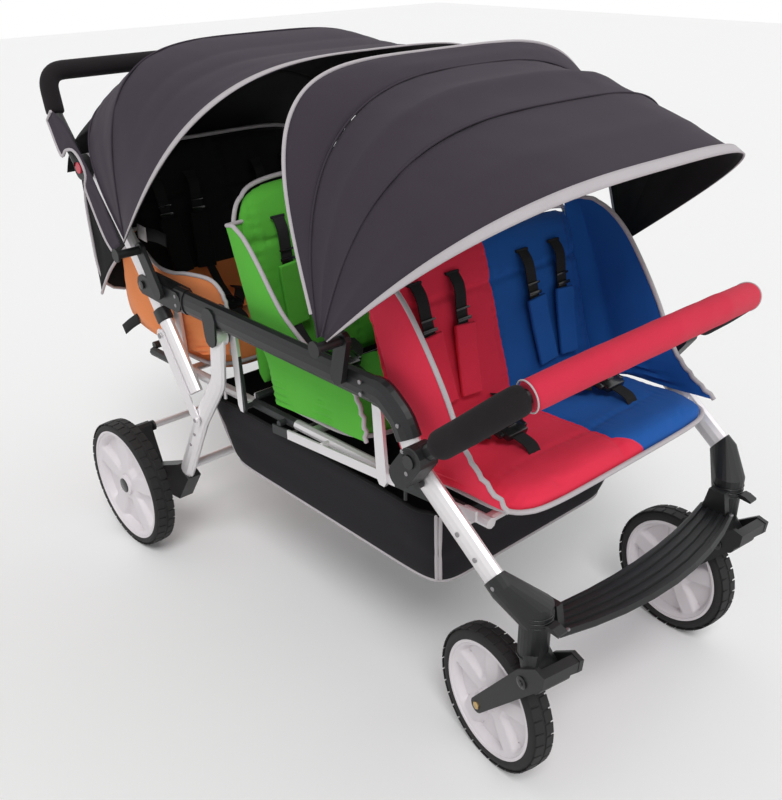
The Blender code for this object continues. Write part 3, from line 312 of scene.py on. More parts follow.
def ready(name, mesh, material, body, inner=None):
    bmesh.ops.remove_doubles(mesh, verts=mesh.verts, dist=weldGap)
    bmesh.ops.recalc_face_normals(mesh, faces=mesh.faces)
    piece = linked(name, asData(name, mesh))
    piece.data.materials.append(finishes[material])
    if inner:
        piece.data.materials.append(finishes[inner])
    piece.data.shade_smooth()
    piece.data.set_sharp_from_angle(angle=radians(sharpDegrees))
    if body:
        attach(piece, body)
    return piece


def formed(shape, columns, rows):
    # a grid whose points are placed by shape(u, v)
    mesh = bmesh.new()
    bmesh.ops.create_grid(mesh, x_segments=columns, y_segments=rows, size=1)
    for vert in mesh.verts:
        vert.co = shape((vert.co.x + 1) / 2, (vert.co.y + 1) / 2)
    return mesh


def twoSided(place, columns, rows, sides=(1, -1), bridge=False):
    # one mesh of a grid for each side, placed by place(side, u, v)
    mesh = bmesh.new()
    for side in sides:
        data = asData("half", formed(lambda u, v: place(side, u, v), columns, rows))
        mesh.from_mesh(data)
        bpy.data.meshes.remove(data)
    if bridge:
        bmesh.ops.bridge_loops(mesh, edges=[edge for edge in mesh.edges if edge.is_boundary])
    return mesh


def thicken(piece, wall, offset=0.0, innerSlot=0):
    step = piece.modifiers.new("wall", "SOLIDIFY")
    step.thickness = wall
    step.offset = offset
    step.use_even_offset = False
    step.material_offset = innerSlot


def smoothOver(piece):
    step = piece.modifiers.new("rounding", "SUBSURF")
    step.levels = 1
    step.render_levels = 1


def soften(piece, offset):
    step = piece.modifiers.new("softEdge", "BEVEL")
    step.width = offset
    step.segments = 3
    step.limit_method = "ANGLE"
    step.angle_limit = radians(50)


def pipe(name, points, radius, material, body, closed=False):
    curve = bpy.data.curves.new(name, "CURVE")
    curve.dimensions = "3D"
    curve.bevel_depth = radius
    curve.bevel_resolution = 2
    curve.use_fill_caps = True
    spline = curve.splines.new("POLY")
    spline.points.add(len(points) - 1)
    for slot, point in zip(spline.points, points):
        slot.co = (*point, 1)
    spline.use_cyclic_u = closed
    curve.materials.append(finishes[material])
    piece = linked(name, curve)
    if body:
        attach(piece, body)
    return piece


def asMesh(piece, body=None):
    # a curve turned into a mesh
    bpy.context.view_layer.update()
    name = piece.name
    data = bpy.data.meshes.new_from_object(piece.evaluated_get(bpy.context.evaluated_depsgraph_get()))
    bpy.data.objects.remove(piece)
    solid = linked(name, data)
    data.shade_smooth()
    if body:
        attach(solid, body)
    return solid


def flowing(points, steps=6):
    # a smooth line through the points
    points = [Vector(point) for point in points]
    ends = [points[0] * 2 - points[1]] + points + [points[-1] * 2 - points[-2]]
    line = []
    for a, b, c, d in zip(ends, ends[1:], ends[2:], ends[3:]):
        for step in range(steps):
            t = step / steps
            line.append(0.5 * (2 * b + (c - a) * t + (2 * a - 5 * b + 4 * c - d) * t * t
                               + (3 * b - a - 3 * c + d) * t ** 3))
    line.append(points[-1])
    return line


def sideLine(points, steps):
    # a smooth line through (y, z) points in the middle plane
    return flowing([at(0, y, z) for y, z in points], steps)


def moved(line, x):
    return [Vector((x, point.y, point.z)) for point in line]


def heading(line, index):
    return (line[min(index + 1, len(line) - 1)] - line[max(index - 1, 0)]).normalized()


def nearest(line, u):
    return min(len(line) - 1, round(u * (len(line) - 1)))


def between(first, second, u, v):
    # a point at share v from one line to another
    index = nearest(first, u)
    return first[index].lerp(second[index], v)


def ribbon(name, points, width, body):
    # a flat strap along a smooth line, facing sideways
    line = flowing(points, 6)

    def place(u, v):
        index = nearest(line, u)
        across = heading(line, index).cross(Vector((1, 0, 0))).normalized()
        return line[index] + across * width * (v - 0.5)
    return ready(name, formed(place, len(line) - 1, 2), "webbing", body)


def addDisc(mesh, centre, axis, radius, height, segments=20, taper=0.86):
    # a small chamfered head standing on centre along axis
    turn = Vector(axis).to_track_quat("Z", "Y").to_matrix().to_4x4()
    for rise, share, top in ((0.35, 0.7, radius), (0.85, 0.3, radius * taper)):
        base = Matrix.Translation(Vector(centre) + Vector(axis).normalized() * height * rise) @ turn
        bmesh.ops.create_cone(mesh, cap_ends=True, segments=segments, radius1=radius, radius2=top,
                              depth=height * share, matrix=base)


def addBox(mesh, centre, size, turn=None, bevel=0.0):
    matrix = Matrix.Translation(Vector(centre))
    if turn is not None:
        matrix = matrix @ turn
    matrix = matrix @ Matrix.Diagonal((*size, 1))
    made = bmesh.ops.create_cube(mesh, size=1, matrix=matrix)
    if bevel:
        bevelEdges(mesh, made, bevel, 2)


def bevelEdges(mesh, made, offset, segments):
    edges = list({edge for vert in made["verts"] for edge in vert.link_edges})
    bmesh.ops.bevel(mesh, geom=edges, offset=offset, offset_type="OFFSET", affect="EDGES", segments=segments,
                    profile=0.5, material=-1)


def boxPiece(name, boxes, material, body):
    mesh = bmesh.new()
    for box in boxes:
        addBox(mesh, *box)
    ready(name, mesh, material, body)


# canopies: bows are angle, reach and roundness; widths are angle and half width
frontHood = {"pivot": (-0.2297, 0.6913), "wide": 1.05,
             "clamps": ["front_canopy_clamp_left", "front_canopy_clamp_right"],
             "widths": [(38.1, 0.3646), (107.4, 0.3646)],
             "bows": [(38.1, 0.406, 3.2), (52.0, 0.363, 3.3), (68.3, 0.338, 3.4), (83.0, 0.345, 3.2),
                      (97.3, 0.353, 3.0), (107.4, 0.386, 4.6)]}
rearHood = {"pivot": (0.365, 0.7), "wide": 1.2, "clamps": ["rear_canopy_clamp_left", "rear_canopy_clamp_right"],
            "widths": [(46.0, 0.368), (94.0, 0.351), (126.0, 0.3435), (131.6, 0.343)], "ribs": (46, 94, 131.6),
            "bows": [(46.0, 0.486, 3.6), (50.0, 0.448, 3.6), (55.0, 0.418, 3.66), (64.0, 0.38, 3.75),
                     (75.0, 0.36, 3.84), (94.0, 0.3535, 4.0), (110.0, 0.341, 3.8), (125.6, 0.346, 3.7),
                     (131.6, 0.346, 3.7)]}
hoodColumns, hoodSteps = 96, 72


def valuesAt(marks, angle):
    for low, high in zip(marks, marks[1:]):
        if angle <= high[0] or high is marks[-1]:
            share = (angle - low[0]) / (high[0] - low[0])
            return [a + (b - a) * share for a, b in zip(low, high)]


def hoodSpot(hood, angle, reach, x=0.0):
    lean = radians(angle)
    return at(x, hood["pivot"][0] - cos(lean) * reach, hood["pivot"][1] + sin(lean) * reach)


def hoodPoint(hood, angle, turn, grow=0.0):
    _, reach, power = valuesAt(hood["bows"], angle)
    half = valuesAt(hood["widths"], angle)[1] + grow
    reach = reach + grow
    x = half * copysign(abs(cos(turn)) ** (2 / power), cos(turn))
    radius = max(0.0095, reach * abs(sin(turn)) ** (2 / power))
    return hoodSpot(hood, angle, radius, x)


def hoodSheet(name, hood, first, last, body, sag=0.006, crease=0.0022, seed=1.0):
    marks = hood.get("ribs") or [bow[0] for bow in hood["bows"]]
    pivot = at(0, *hood["pivot"])

    def shape(u, v):
        angle = first + (last - first) * v
        turn = pi * (0.003 + 0.994 * u)
        slack = 0.0
        for low, high in zip(marks, marks[1:]):
            if low <= angle <= high:
                share = (angle - low) / (high - low)
                slack = 4 * share * (1 - share)
        point = hoodPoint(hood, angle, turn)
        lift = sin(turn) ** 0.5 if sin(turn) > 0 else 0
        folds = ripple(u * 9, v * 3 + seed, seed)
        pulls = ripple(u * 34 + seed, v * 4, seed * 2)
        depth = -sag * slack * lift + crease * folds * lift + crease * 0.5 * pulls * lift
        outward = Vector((point.x * 0.7, point.y - pivot.y, point.z - pivot.z)).normalized()
        return point + outward * depth
    rows = max(8, int(abs(last - first) / 1.4))
    piece = ready(name, formed(shape, hoodColumns, rows), "canopy", body, "lining")
    thicken(piece, 0.0016, -1.0, 1)
    return piece


def hoodLine(hood, angle, grow=0.0, low=0.003, high=0.997):
    return [hoodPoint(hood, angle, pi * (low + (high - low) * step / hoodSteps), grow)
            for step in range(hoodSteps + 1)]


def hoodTape(name, hood, first, last, body):
    def shape(u, v):
        return hoodPoint(hood, first + (last - first) * v, pi * (0.004 + 0.992 * u), 0.0016)
    piece = ready(name, formed(shape, hoodColumns, 3), "binding", body)
    thicken(piece, tapeWall)
    return piece


def hoodArea(hood, first, last):
    total = 0.0
    angle = first
    while angle < last:
        line = hoodLine(hood, angle)
        after = hoodLine(hood, min(angle + 2, last))
        for a, b, c, d in zip(line, line[1:], after, after[1:]):
            total += (b - a).cross(c - a).length / 2 + (d - b).cross(c - b).length / 2
        angle += 2
    return total


def declareSheet(hood, first, last):
    # measures the cut panel's area, which is not used further; the panel is a crescent, so its box would be 1.6 times
    # its area
    area = hoodArea(hood, first, last)


def buildFrontCanopy():
    hood = frontHood
    front = hoodSheet("frontCanopyFront", hood, 38.3, 68.3, None, seed=1.3)
    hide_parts("front_canopy_front")
    mid = hoodSheet("frontCanopyMid", hood, 68.3, 97.3, None, seed=2.1)
    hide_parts("front_canopy_mid")
    rear = hoodSheet("frontCanopyRear", hood, 97.3, 107.2, "frame", seed=3.7, sag=0.0)
    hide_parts("front_canopy_rear")
    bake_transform(front)
    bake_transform(mid)
    hem = hoodTape("frontCanopyHem", hood, 38.1, 40.7, "front_hood_front")
    for number, (angle, body) in enumerate(((68.3, "front_hood_mid"), (97.3, "frame"))):
        pipe("frontCanopySeam%d" % number, hoodLine(hood, angle, 0.0012), 0.0016, "canopy", body)
    edge = pipe("frontCanopyEdge", hoodLine(hood, 107.4), edgePiping, "binding", "frame")
    declareSheet(hood, 38.3, 68.3)
    declareSheet(hood, 68.3, 97.3)
    declareSheet(hood, 97.3, 107.2)


def buildRearCanopy():
    hood = rearHood
    cover = hoodSheet("rearCanopyFront", hood, 46.2, 94.0, "rear_hood", seed=5.2, crease=0.003)
    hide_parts("rear_canopy_front")
    back = hoodSheet("rearCanopyRear", hood, 94.0, 131.2, "frame", seed=6.4, crease=0.004)
    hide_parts("rear_canopy_rear")
    hem = hoodTape("rearCanopyHem", hood, 46.0, 47.9, "rear_hood")
    seam = asMesh(pipe("rearCanopySeam", hoodLine(hood, 93.6, 0.0012), 0.0018, "canopy", None), "rear_hood")
    edge = asMesh(pipe("rearCanopyEdge", hoodLine(hood, 131.3), 0.0024, "canopy", None), "frame")
    for piece in (cover, back, hem, seam, edge):
        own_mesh(piece)
    declareSheet(hood, 46.2, 94.0)
    declareSheet(hood, 94.0, 131.2)


addCamera()
addSurroundings()
buildFrontCanopy()
buildRearCanopy()
say("canopies")


# padded seats; heights and reaches in metres, lean in degrees
padSwell = {"voxel": 0.006, "pressure": 3.0, "frames": 14, "cap": 0.004}


def swell(piece):
    # remesh, inflate with cloth, and cap how far a point moves
    worker = linked("padWorker", piece.data.copy())
    bpy.context.view_layer.objects.active = worker
    step = worker.modifiers.new("voxels", "REMESH")
    step.mode = "VOXEL"
    step.voxel_size = padSwell["voxel"]
    bpy.ops.object.modifier_apply(modifier=step.name)
    before = [vert.co.copy() for vert in worker.data.vertices]
    cloth = worker.modifiers.new("cloth", "CLOTH")
    cloth.settings.use_pressure = True
    cloth.settings.uniform_pressure_force = padSwell["pressure"]
    cloth.settings.effector_weights.gravity = 0
    cloth.settings.quality = 4
    cloth.point_cache.frame_start = 1
    cloth.point_cache.frame_end = padSwell["frames"]
    scene = bpy.context.scene
    for number in range(1, padSwell["frames"] + 1):
        scene.frame_set(number)
    bpy.ops.object.modifier_apply(modifier=cloth.name)
    scene.frame_set(1)
    for vert, start in zip(worker.data.vertices, before):
        move = vert.co - start
        if move.length > padSwell["cap"]:
            vert.co = start + move.normalized() * padSwell["cap"]
    slots = list(piece.data.materials)
    piece.data = worker.data
    piece.data.materials.clear()
    for slot in slots:
        piece.data.materials.append(slot)
    bpy.data.objects.remove(worker)


def carve(piece, seams, inward):
    # sewn lines pressed in after the remesh, with fine gathers beside them
    for vert in piece.data.vertices:
        for line in seams:
            away, along, depth = line(vert.co)
            ease = exp(-(away / 0.0045) ** 2)
            gather = 0.0009 * sin(along * 380) * exp(-(away / 0.015) ** 2)
            vert.co += inward * (depth * ease + gather)
        dent = noise.noise(vert.co * 17) * 0.0026 + noise.noise(vert.co * 46) * 0.0009
        vert.co += inward * dent
    piece.data.shade_smooth()
    smoothOver(piece)


def cornered(u, v, corner):
    # pulls the corners of a square in, more at the v = 1 end where corner says so
    near = abs(u) ** 5 * abs(v) ** 4
    pull = corner[1] if v > 0 else corner[0]
    return u * (1 - pull * near), v * (1 - pull * 1.1 * near)


def padShape(centre, along, up, half, length, upper, lower, corner):
    def place(side, u, v):
        u = sin(pi * (u - 0.5))
        v = sin(pi * (v - 0.5))
        fade = (max(0.0, 1 - abs(u) ** 9) * max(0.0, 1 - abs(v) ** 7)) ** 0.5
        height = (upper if side > 0 else lower) * fade
        if side > 0:
            height *= 0.84 + 0.16 * abs(sin(pi * u)) * cos(pi * v / 2)
        a, b = cornered(u, v, corner)
        return centre + Vector((half * a, 0, 0)) + along * length * b + up * height * side
    return twoSided(place, 48, 26)


def cushion(name, node, mesh, cloth, body, seams, inward):
    piece = ready(name, mesh, cloth, body)
    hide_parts(node)
    swell(piece)
    carve(piece, seams, inward)


def squareEdge(turn, corner):
    # the point at an angle on the cornered square's outline
    c, s = cos(turn), sin(turn)
    grow = 1 / max(abs(c), abs(s))
    return cornered(c * grow, s * grow, corner)


def padEdge(centre, along, up, half, length, corner, first, last, lift=0.0):
    # the piped edge of a pad, from angle first to last round its outline
    line = []
    for step in range(97):
        a, b = squareEdge(first + (last - first) * step / 96, corner)
        line.append(centre + Vector((half * a, 0, 0)) + along * length * b + up * lift)
    return line


def barZ(y):
    return 0.43 + (y - 0.507) / (-0.48 - 0.507) * 0.025


seats = {
    "front": {"padFront": -0.545, "padRear": -0.3112, "top": 0.514, "hinge": (-0.285, 0.47), "lean": 17,
              "height": 0.335, "half": 0.2575, "cloth": "redBlue", "back": "redBlue", "body": "back_front",
              "near": "redOnly", "far": "blueOnly", "corner": 0.05, "piping": 0.7,
              "wing": [(-0.524, 0.499), (-0.47, 0.532), (-0.43, 0.572), (-0.392, 0.64), (-0.352, 0.7),
                       (-0.31, 0.752), (-0.27, 0.783), (-0.235, 0.796)],
              "join": [(-0.3, 0.486), (-0.276, 0.524), (-0.255, 0.58), (-0.236, 0.64), (-0.217, 0.7),
                       (-0.202, 0.745), (-0.193, 0.778), (-0.19, 0.793)]},
    "middle": {"padFront": -0.2, "padRear": 0.092, "top": 0.503, "hinge": (0.118, 0.462), "lean": 6,
               "height": 0.385, "half": 0.25, "cloth": "green", "back": "green", "body": "back_middle",
               "near": "green", "far": "green", "corner": 0.12, "piping": 0.55,
               "wing": [(-0.214, 0.492), (-0.205, 0.54), (-0.176, 0.58), (-0.095, 0.602), (-0.017, 0.646),
                        (0.016, 0.676), (0.059, 0.728), (0.094, 0.764), (0.124, 0.781)],
               "join": [(0.092, 0.472), (0.1, 0.508), (0.106, 0.545), (0.112, 0.58), (0.121, 0.625),
                        (0.13, 0.67), (0.14, 0.715), (0.147, 0.75), (0.152, 0.776)]},
    "rear": {"padFront": 0.236, "padRear": 0.4725, "top": 0.512, "hinge": (0.5, 0.453), "lean": 15,
             "height": 0.4, "half": 0.2575, "cloth": "orange", "back": "orangeBack", "body": "back_rear",
             "near": "blackCloth", "far": "blackCloth", "corner": 0.1, "piping": 0.2,
             "wing": [(0.168, 0.53), (0.163, 0.575), (0.172, 0.625), (0.19, 0.652), (0.225, 0.663), (0.3, 0.655),
                      (0.355, 0.644), (0.405, 0.643), (0.441, 0.655), (0.479, 0.677), (0.505, 0.69)],
             "join": [(0.3, 0.49), (0.45, 0.463), (0.55, 0.464), (0.606, 0.481), (0.624, 0.515), (0.622, 0.555),
                      (0.608, 0.595), (0.592, 0.63), (0.57, 0.658), (0.55, 0.678), (0.53, 0.69)]},
}


def backFrame(look):
    tilt = radians(look["lean"])
    along = Vector((0, sin(tilt), cos(tilt)))
    face = Vector((0, -cos(tilt), sin(tilt)))
    return at(0, *look["hinge"]), along, face


def onBack(look, x, rise, reach):
    hinge, along, face = backFrame(look)
    return hinge + along * rise + face * reach + Vector((x, 0, 0))


def buildPad(row, look):
    middle = (look["padFront"] + look["padRear"]) / 2
    base = barZ(middle) + 0.0081 + 0.0006
    thick = look["top"] - base
    slope = Vector((0, look["padRear"] - look["padFront"], barZ(look["padRear"]) - barZ(look["padFront"])))
    along = slope.normalized()
    up = Vector((0, -along.z, along.y))
    centre = at(0, middle, base + thick * 0.36 + 0.002)
    length = (look["padRear"] - look["padFront"]) / 2
    corner = (0.11, 0.02)
    cross = centre - along * length * 0.25
    seams = [lambda point: (point.x, point.y, 0.006),
             lambda point: ((point - cross).dot(along), point.x, 0.004 * (1 - abs(point.x) / 0.27)),
             lambda point: (abs(point.x) - 0.236, point.y, 0.003)]
    mesh = padShape(centre, along, up, 0.2525, length - 0.005, thick * 0.56, thick * 0.3, corner)
    cushion(row + "SeatPad", "seat_pad_" + row, mesh, look["cloth"], "frame", seams, -up)
    line = padEdge(centre, along, up, 0.2545, length - 0.004, corner, -pi - 0.55, 0.55)
    pipe(row + "PadPiping", line, seatPiping, "binding", "frame")


def buildSeat(row):
    look = seats[row]
    buildPad(row, look)
    hinge, along, face = backFrame(look)
    height, half = look["height"], look["half"]
    centre = hinge + along * (height / 2 + 0.002) - face * 0.004
    corner = (0.02, look["corner"])
    head = hinge + along * height * 0.72
    seams = [lambda point: (point.x, point.z, 0.005),
             lambda point: ((point - head).dot(along), point.x, 0.005),
             lambda point: (abs(point.x) - half + 0.034, point.z, 0.003)]
    mesh = padShape(centre, along, face, half - 0.005, height / 2 - 0.005, 0.02, 0.014, corner)
    cushion(row + "SeatBack", "seat_back_" + row, mesh, look["back"], look["body"], seams, -face)
    line = padEdge(centre, along, face, half - 0.001, height / 2 - 0.003, corner, look["piping"],
                   pi - look["piping"], -0.004)
    pipe(row + "BackPiping", line, seatPiping, "binding", look["body"])
    for side, s in hands:
        buildWing(row + "Wing" + side, look, s)
        buildHarness(row + side, look, s)


wingPlane, wingLimit = 0.2665, 0.275


def buildWing(name, look, s):
    # a padded side panel from the back to a bound front edge, gathered low down
    front = sideLine(look["wing"], 6)
    rear = sideLine(look["join"], 6)
    last = len(front) - 1
    inner = look["half"] - 0.02

    def centre(u, v):
        point = between(rear, front, u, v)
        ease = rise(v / 0.22)
        low = max(0.0, 1 - u * 3.0)
        gather = 0.003 * low * sin(v * 7 + u * 150) * sin(pi * min(1, v * 1.15)) ** 0.5
        wave = 0.0014 * ripple(point.y * 26, point.z * 26, s * 4) * sin(pi * v)
        return Vector((inner + (wingPlane - inner) * ease + gather + wave, point.y, point.z))

    def place(side, u, v):
        point = centre(u, v)
        puff = 4 * v * (1 - v) * sin(pi * min(1, max(0, u))) ** 0.4
        edge = min(1.0, 12 * v * (1 - v) + 0.12)
        x = point.x + side * (0.0008 + 0.0034 * edge * (0.35 + 0.65 * puff))
        return Vector((s * min(x, wingLimit), point.y, point.z))
    ready(name, twoSided(place, last, 20, bridge=True), look["cloth"], look["body"])
    line = []
    for index, point in enumerate(front):
        low = max(0.0, 1 - index / last * 3.0)
        bend = 0.0034 * low * sin(index * 2.3)
        line.append(Vector((s * (0.2667 + bend), point.y, point.z + 0.6 * abs(bend))))
    for step in range(1, 9):
        point = centre(1, 1 - step / 8)
        line.append(Vector((s * point.x, point.y, point.z + 0.0015)))
    pipe(name + "Binding", line, 0.004, "binding", look["body"])


# harness
def webStrip(name, points, width, wall, out, material, body, steps=6):
    line = flowing(points, steps)

    def place(side, u, v):
        index = nearest(line, u)
        ahead = heading(line, index)
        across = ahead.cross(out).normalized()
        up = across.cross(ahead).normalized()
        return line[index] + across * width * (v - 0.5) + up * wall * (0.5 + side * 0.5)
    return ready(name, twoSided(place, len(line) - 1, 2, bridge=True), material, body)


def buildHarness(name, look, s):
    # two shoulder straps with soft pads, a lap strap each side, a crotch strap and a buckle
    body, face = look["body"], backFrame(look)[2]
    middle = s * 0.127
    colour = look["far"] if s > 0 else look["near"]
    slotRise = look["height"] * 0.82
    seatRise = look["top"] - look["hinge"][1]
    lean = Matrix.Rotation(-radians(look["lean"]), 4, "X")
    flatOut = Vector((0, -0.5, 0.86))
    web, wall = 0.024, 0.0016

    def spot(t, shift, drop, reach):
        return onBack(look, middle + t * 0.042 - t * shift, slotRise - drop, reach)
    for side, t in (("In", -s), ("Out", s)):
        points = [spot(t, 0, 0, 0.0215), spot(t, 0, 0.022, 0.031), spot(t, 0.003, 0.06, 0.029),
                  spot(t, 0.006, 0.105, 0.026)]
        webStrip(name + "Strap" + side, points, web, wall, face, "webbing", body)
        slot = (spot(t, 0, -0.001, 0.0212), (0.03, 0.004, 0.005), lean, 0.001)
        boxPiece(name + "Slot" + side, [slot], "webbing", body)
        points = [spot(t, 0.004, 0.082, 0.029), spot(t, 0.008, 0.13, 0.026), spot(t, 0.014, 0.2, 0.025)]
        pad = webStrip(name + "ShoulderPad" + side, points, 0.046, 0.0075, face, colour, body, 8)
        soften(pad, 0.0028)
        boxPiece(name + "Adjuster" + side, [(spot(t, 0.003, 0.075, 0.0325), (0.031, 0.0035, 0.006), lean, 0.001),
                                            (spot(t, 0.003, 0.058, 0.0325), (0.031, 0.0035, 0.004), lean, 0.001)],
                 "gloss", body)
    buckle = at(middle, look["hinge"][0] - 0.108, look["top"] + 0.024)
    for side, t in (("In", -1), ("Out", 1)):
        points = [onBack(look, middle + t * 0.088, seatRise + 0.012, 0.022),
                  onBack(look, middle + t * 0.072, seatRise + 0.006, 0.066),
                  buckle + Vector((t * 0.03, 0.006, -0.004))]
        webStrip(name + "Lap" + side, points, web, wall, flatOut, "webbing", body)
        if slotRise - 0.198 > seatRise + 0.06:
            points = [onBack(look, middle + t * 0.036, slotRise - 0.198, 0.027),
                      onBack(look, middle + t * 0.03, seatRise + 0.034, 0.058),
                      buckle + Vector((t * 0.018, 0.016, 0.002))]
            webStrip(name + "Lower" + side, points, 0.02, wall, face, "webbing", body)
    turn = Matrix.Rotation(radians(14), 4, "X")
    boxPiece(name + "Buckle", [(buckle, (0.046, 0.05, 0.013), turn, 0.004),
                               (buckle + Vector((0, -0.001, 0.0065)), (0.02, 0.02, 0.006), turn, 0.002),
                               (buckle + Vector((-0.026, 0, 0)), (0.012, 0.03, 0.009), turn, 0.003),
                               (buckle + Vector((0.026, 0, 0)), (0.012, 0.03, 0.009), turn, 0.003)], "gloss", "frame")
    start = buckle + Vector((0, -0.02, -0.006))
    foot = Vector((middle, start.y - 0.04, look["top"] - 0.0035))
    points = [start, start.lerp(foot, 0.5) + Vector((0, -0.008, 0.003)), foot]
    webStrip(name + "Crotch", points, 0.026, wall, flatOut, "webbing", "frame")
    boxPiece(name + "CrotchSlot", [(foot, (0.036, 0.008, 0.004), None, 0.0015)], "webbing", "frame")


def rise(share):
    # eases from 0 to 1
    share = min(1.0, max(0.0, share))
    return share * share * (3 - 2 * share)


for rowName in seats:
    buildSeat(rowName)
say("seats")


# tubes of foam and cloth
def softened(points, radius, steps=5):
    points = [Vector(point) for point in points]
    path = [points[0]]
    for before, corner, after in zip(points, points[1:], points[2:]):
        inward = (before - corner).normalized()
        outward = (after - corner).normalized()
        angle = inward.angle(outward) / 2
        reach = min(radius / max(0.05, tan(angle)), (before - corner).length * 0.48,
                    (after - corner).length * 0.48)
        start, end = corner + inward * reach, corner + outward * reach
        for step in range(steps + 1):
            share = step / steps
            path.append(start.lerp(corner, share).lerp(corner.lerp(end, share), share))
    path.append(points[-1])
    return path


def spaced(path, gap):
    # points at even steps along a path
    line, left = [path[0]], gap
    for a, b in zip(path, path[1:]):
        length = (b - a).length
        done = 0.0
        while length - done >= left:
            done += left
            line.append(a.lerp(b, done / length))
            left = gap
        left -= length - done
    line.append(path[-1])
    return line


def crossAxes(ahead, side):
    up = (side - ahead * side.dot(ahead)).normalized()
    return ahead.cross(up), up


def tube(name, path, radius, material, body, around=28, side=(0, 0, 1), radiusAt=None, ends=0.004):
    def place(u, v):
        index = nearest(path, u)
        across, up = crossAxes(heading(path, index), Vector(side))
        turn = 2 * pi * v
        near = min((path[index] - path[0]).length, (path[index] - path[-1]).length)
        size = radius * (1 - 0.16 * max(0.0, 1 - near / ends) ** 2)
        if radiusAt:
            size += radiusAt(path[index], turn)
        return path[index] + (across * cos(turn) + up * sin(turn)) * size
    mesh = formed(place, len(path) - 1, around)
    bmesh.ops.remove_doubles(mesh, verts=mesh.verts, dist=0.00003)
    bmesh.ops.holes_fill(mesh, edges=[edge for edge in mesh.edges if edge.is_boundary], sides=0)
    return ready(name, mesh, material, body)


bumperPlace = {"x": 0.328, "y": -0.405, "z": 0.566, "foam": 0.0235, "seam": 0.276}


def buildBumper():
    look = bumperPlace
    foam = look["foam"]
    slide = Vector((0, -0.76, 0.65)).normalized()
    seat = at(look["x"], look["y"], look["z"])
    half = [seat + slide * 0.0475, seat + slide * 0.052, at(0.32, -0.489, 0.638), at(0.292, -0.543, 0.688)]
    middle = [at(0.146, -0.571, 0.71), at(0, -0.579, 0.716), at(-0.146, -0.571, 0.71)]
    other = [Vector((-point.x, point.y, point.z)) for point in reversed(half)]
    path = spaced(softened(half + middle + other, 0.045), 0.005)
    first = [index for index, point in enumerate(path) if point.x > look["seam"] and point.y < -0.5][-1]
    last = [index for index, point in enumerate(path) if point.x > -look["seam"]][-1]

    def wrinkle(point, turn):
        return 0.0009 * ripple(point.x * 22, turn * 1.4, point.y * 24)
    cover = tube("bumperSleeve", path[first:last], foam - 0.0002, "redCloth", "bumper", 36, radiusAt=wrinkle,
                 ends=0.002)
    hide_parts("bumper_sleeve")
    rest = tube("bumperFoamRight", path[last:], foam - 0.0012, "foam", "bumper", 36, ends=0.009)
    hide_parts("bumper_foam")
    tube("bumperFoamLeft", path[:first], foam - 0.0012, "foam", "bumper", 36, ends=0.009)
    frameUp = Vector((0, 0, 1))
    for name, index in (("Right", last - 1), ("Left", first + 1)):
        across, up = crossAxes((path[index] - path[index - 1]).normalized(), frameUp)
        turns = [2 * pi * step / 40 for step in range(40)]
        ring = [path[index] + (across * cos(turn) + up * sin(turn)) * (foam - 0.0002) for turn in turns]
        pipe("bumperTrim" + name, ring, 0.0013, "binding", "bumper", closed=True)
    seam = [path[index] - crossAxes(heading(path, index), frameUp)[1] * (foam - 0.0006)
            for index in range(first + 2, last - 2)]
    pipe("bumperSeam", seam, 0.0012, "redCloth", "bumper")
    tag = (at(0.245, -0.549, 0.676), (0.016, 0.003, 0.014), Matrix.Rotation(0.5, 4, "X"), 0.001)
    boxPiece("bumperTag", [tag], "redCloth", "bumper")


def buildGrip():
    elbow = at(0.326, 0.648, 0.992)
    low = at(0.33, 0.622, 0.915).lerp(elbow, 0.03)
    mirrored = [Vector((-point.x, point.y, point.z)) for point in (elbow, low)]
    path = spaced(softened([low, elbow] + mirrored, 0.052, 8), 0.006)
    grip = tube("handleGrip", path, 0.0178, "foam", "handle", 28, side=(0, -0.85, 0.5))
    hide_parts("handle_grip")


buildBumper()
buildGrip()
say("foam and sleeves")


# handle sleeves of canopy cloth
sleeveRear = [(0.629, 0.907), (0.594, 0.846), (0.568, 0.858), (0.536, 0.862), (0.51, 0.846), (0.498, 0.822),
              (0.508, 0.796), (0.492, 0.762), (0.462, 0.712), (0.436, 0.688)]
sleeveFront = [(0.606, 0.926), (0.567, 0.911), (0.534, 0.882), (0.506, 0.852), (0.485, 0.829), (0.467, 0.805),
               (0.451, 0.782), (0.435, 0.758), (0.419, 0.734), (0.402, 0.706)]


def buildHandleSleeves():
    rear = sideLine(sleeveRear, 5)
    front = sideLine(sleeveFront, 5)
    for name, s in hands:
        def place(u, v):
            point = between(rear, front, u, v)
            crease = 0.0014 * ripple(u * 11, v * 4, s)
            return Vector((s * (0.3462 + crease - 0.003 * v), point.y, point.z))
        panel = ready("handleSleeve" + name, formed(place, len(rear) - 1, 8), "canopy", None)
        thicken(panel, clothWall)
        line = moved(front[:1] + rear, s * 0.3466)
        hem = asMesh(pipe("handleSleeveHem" + name, line, 0.003, "binding", None))
        for piece in (panel, hem):
            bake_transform(piece)


buildHandleSleeves()


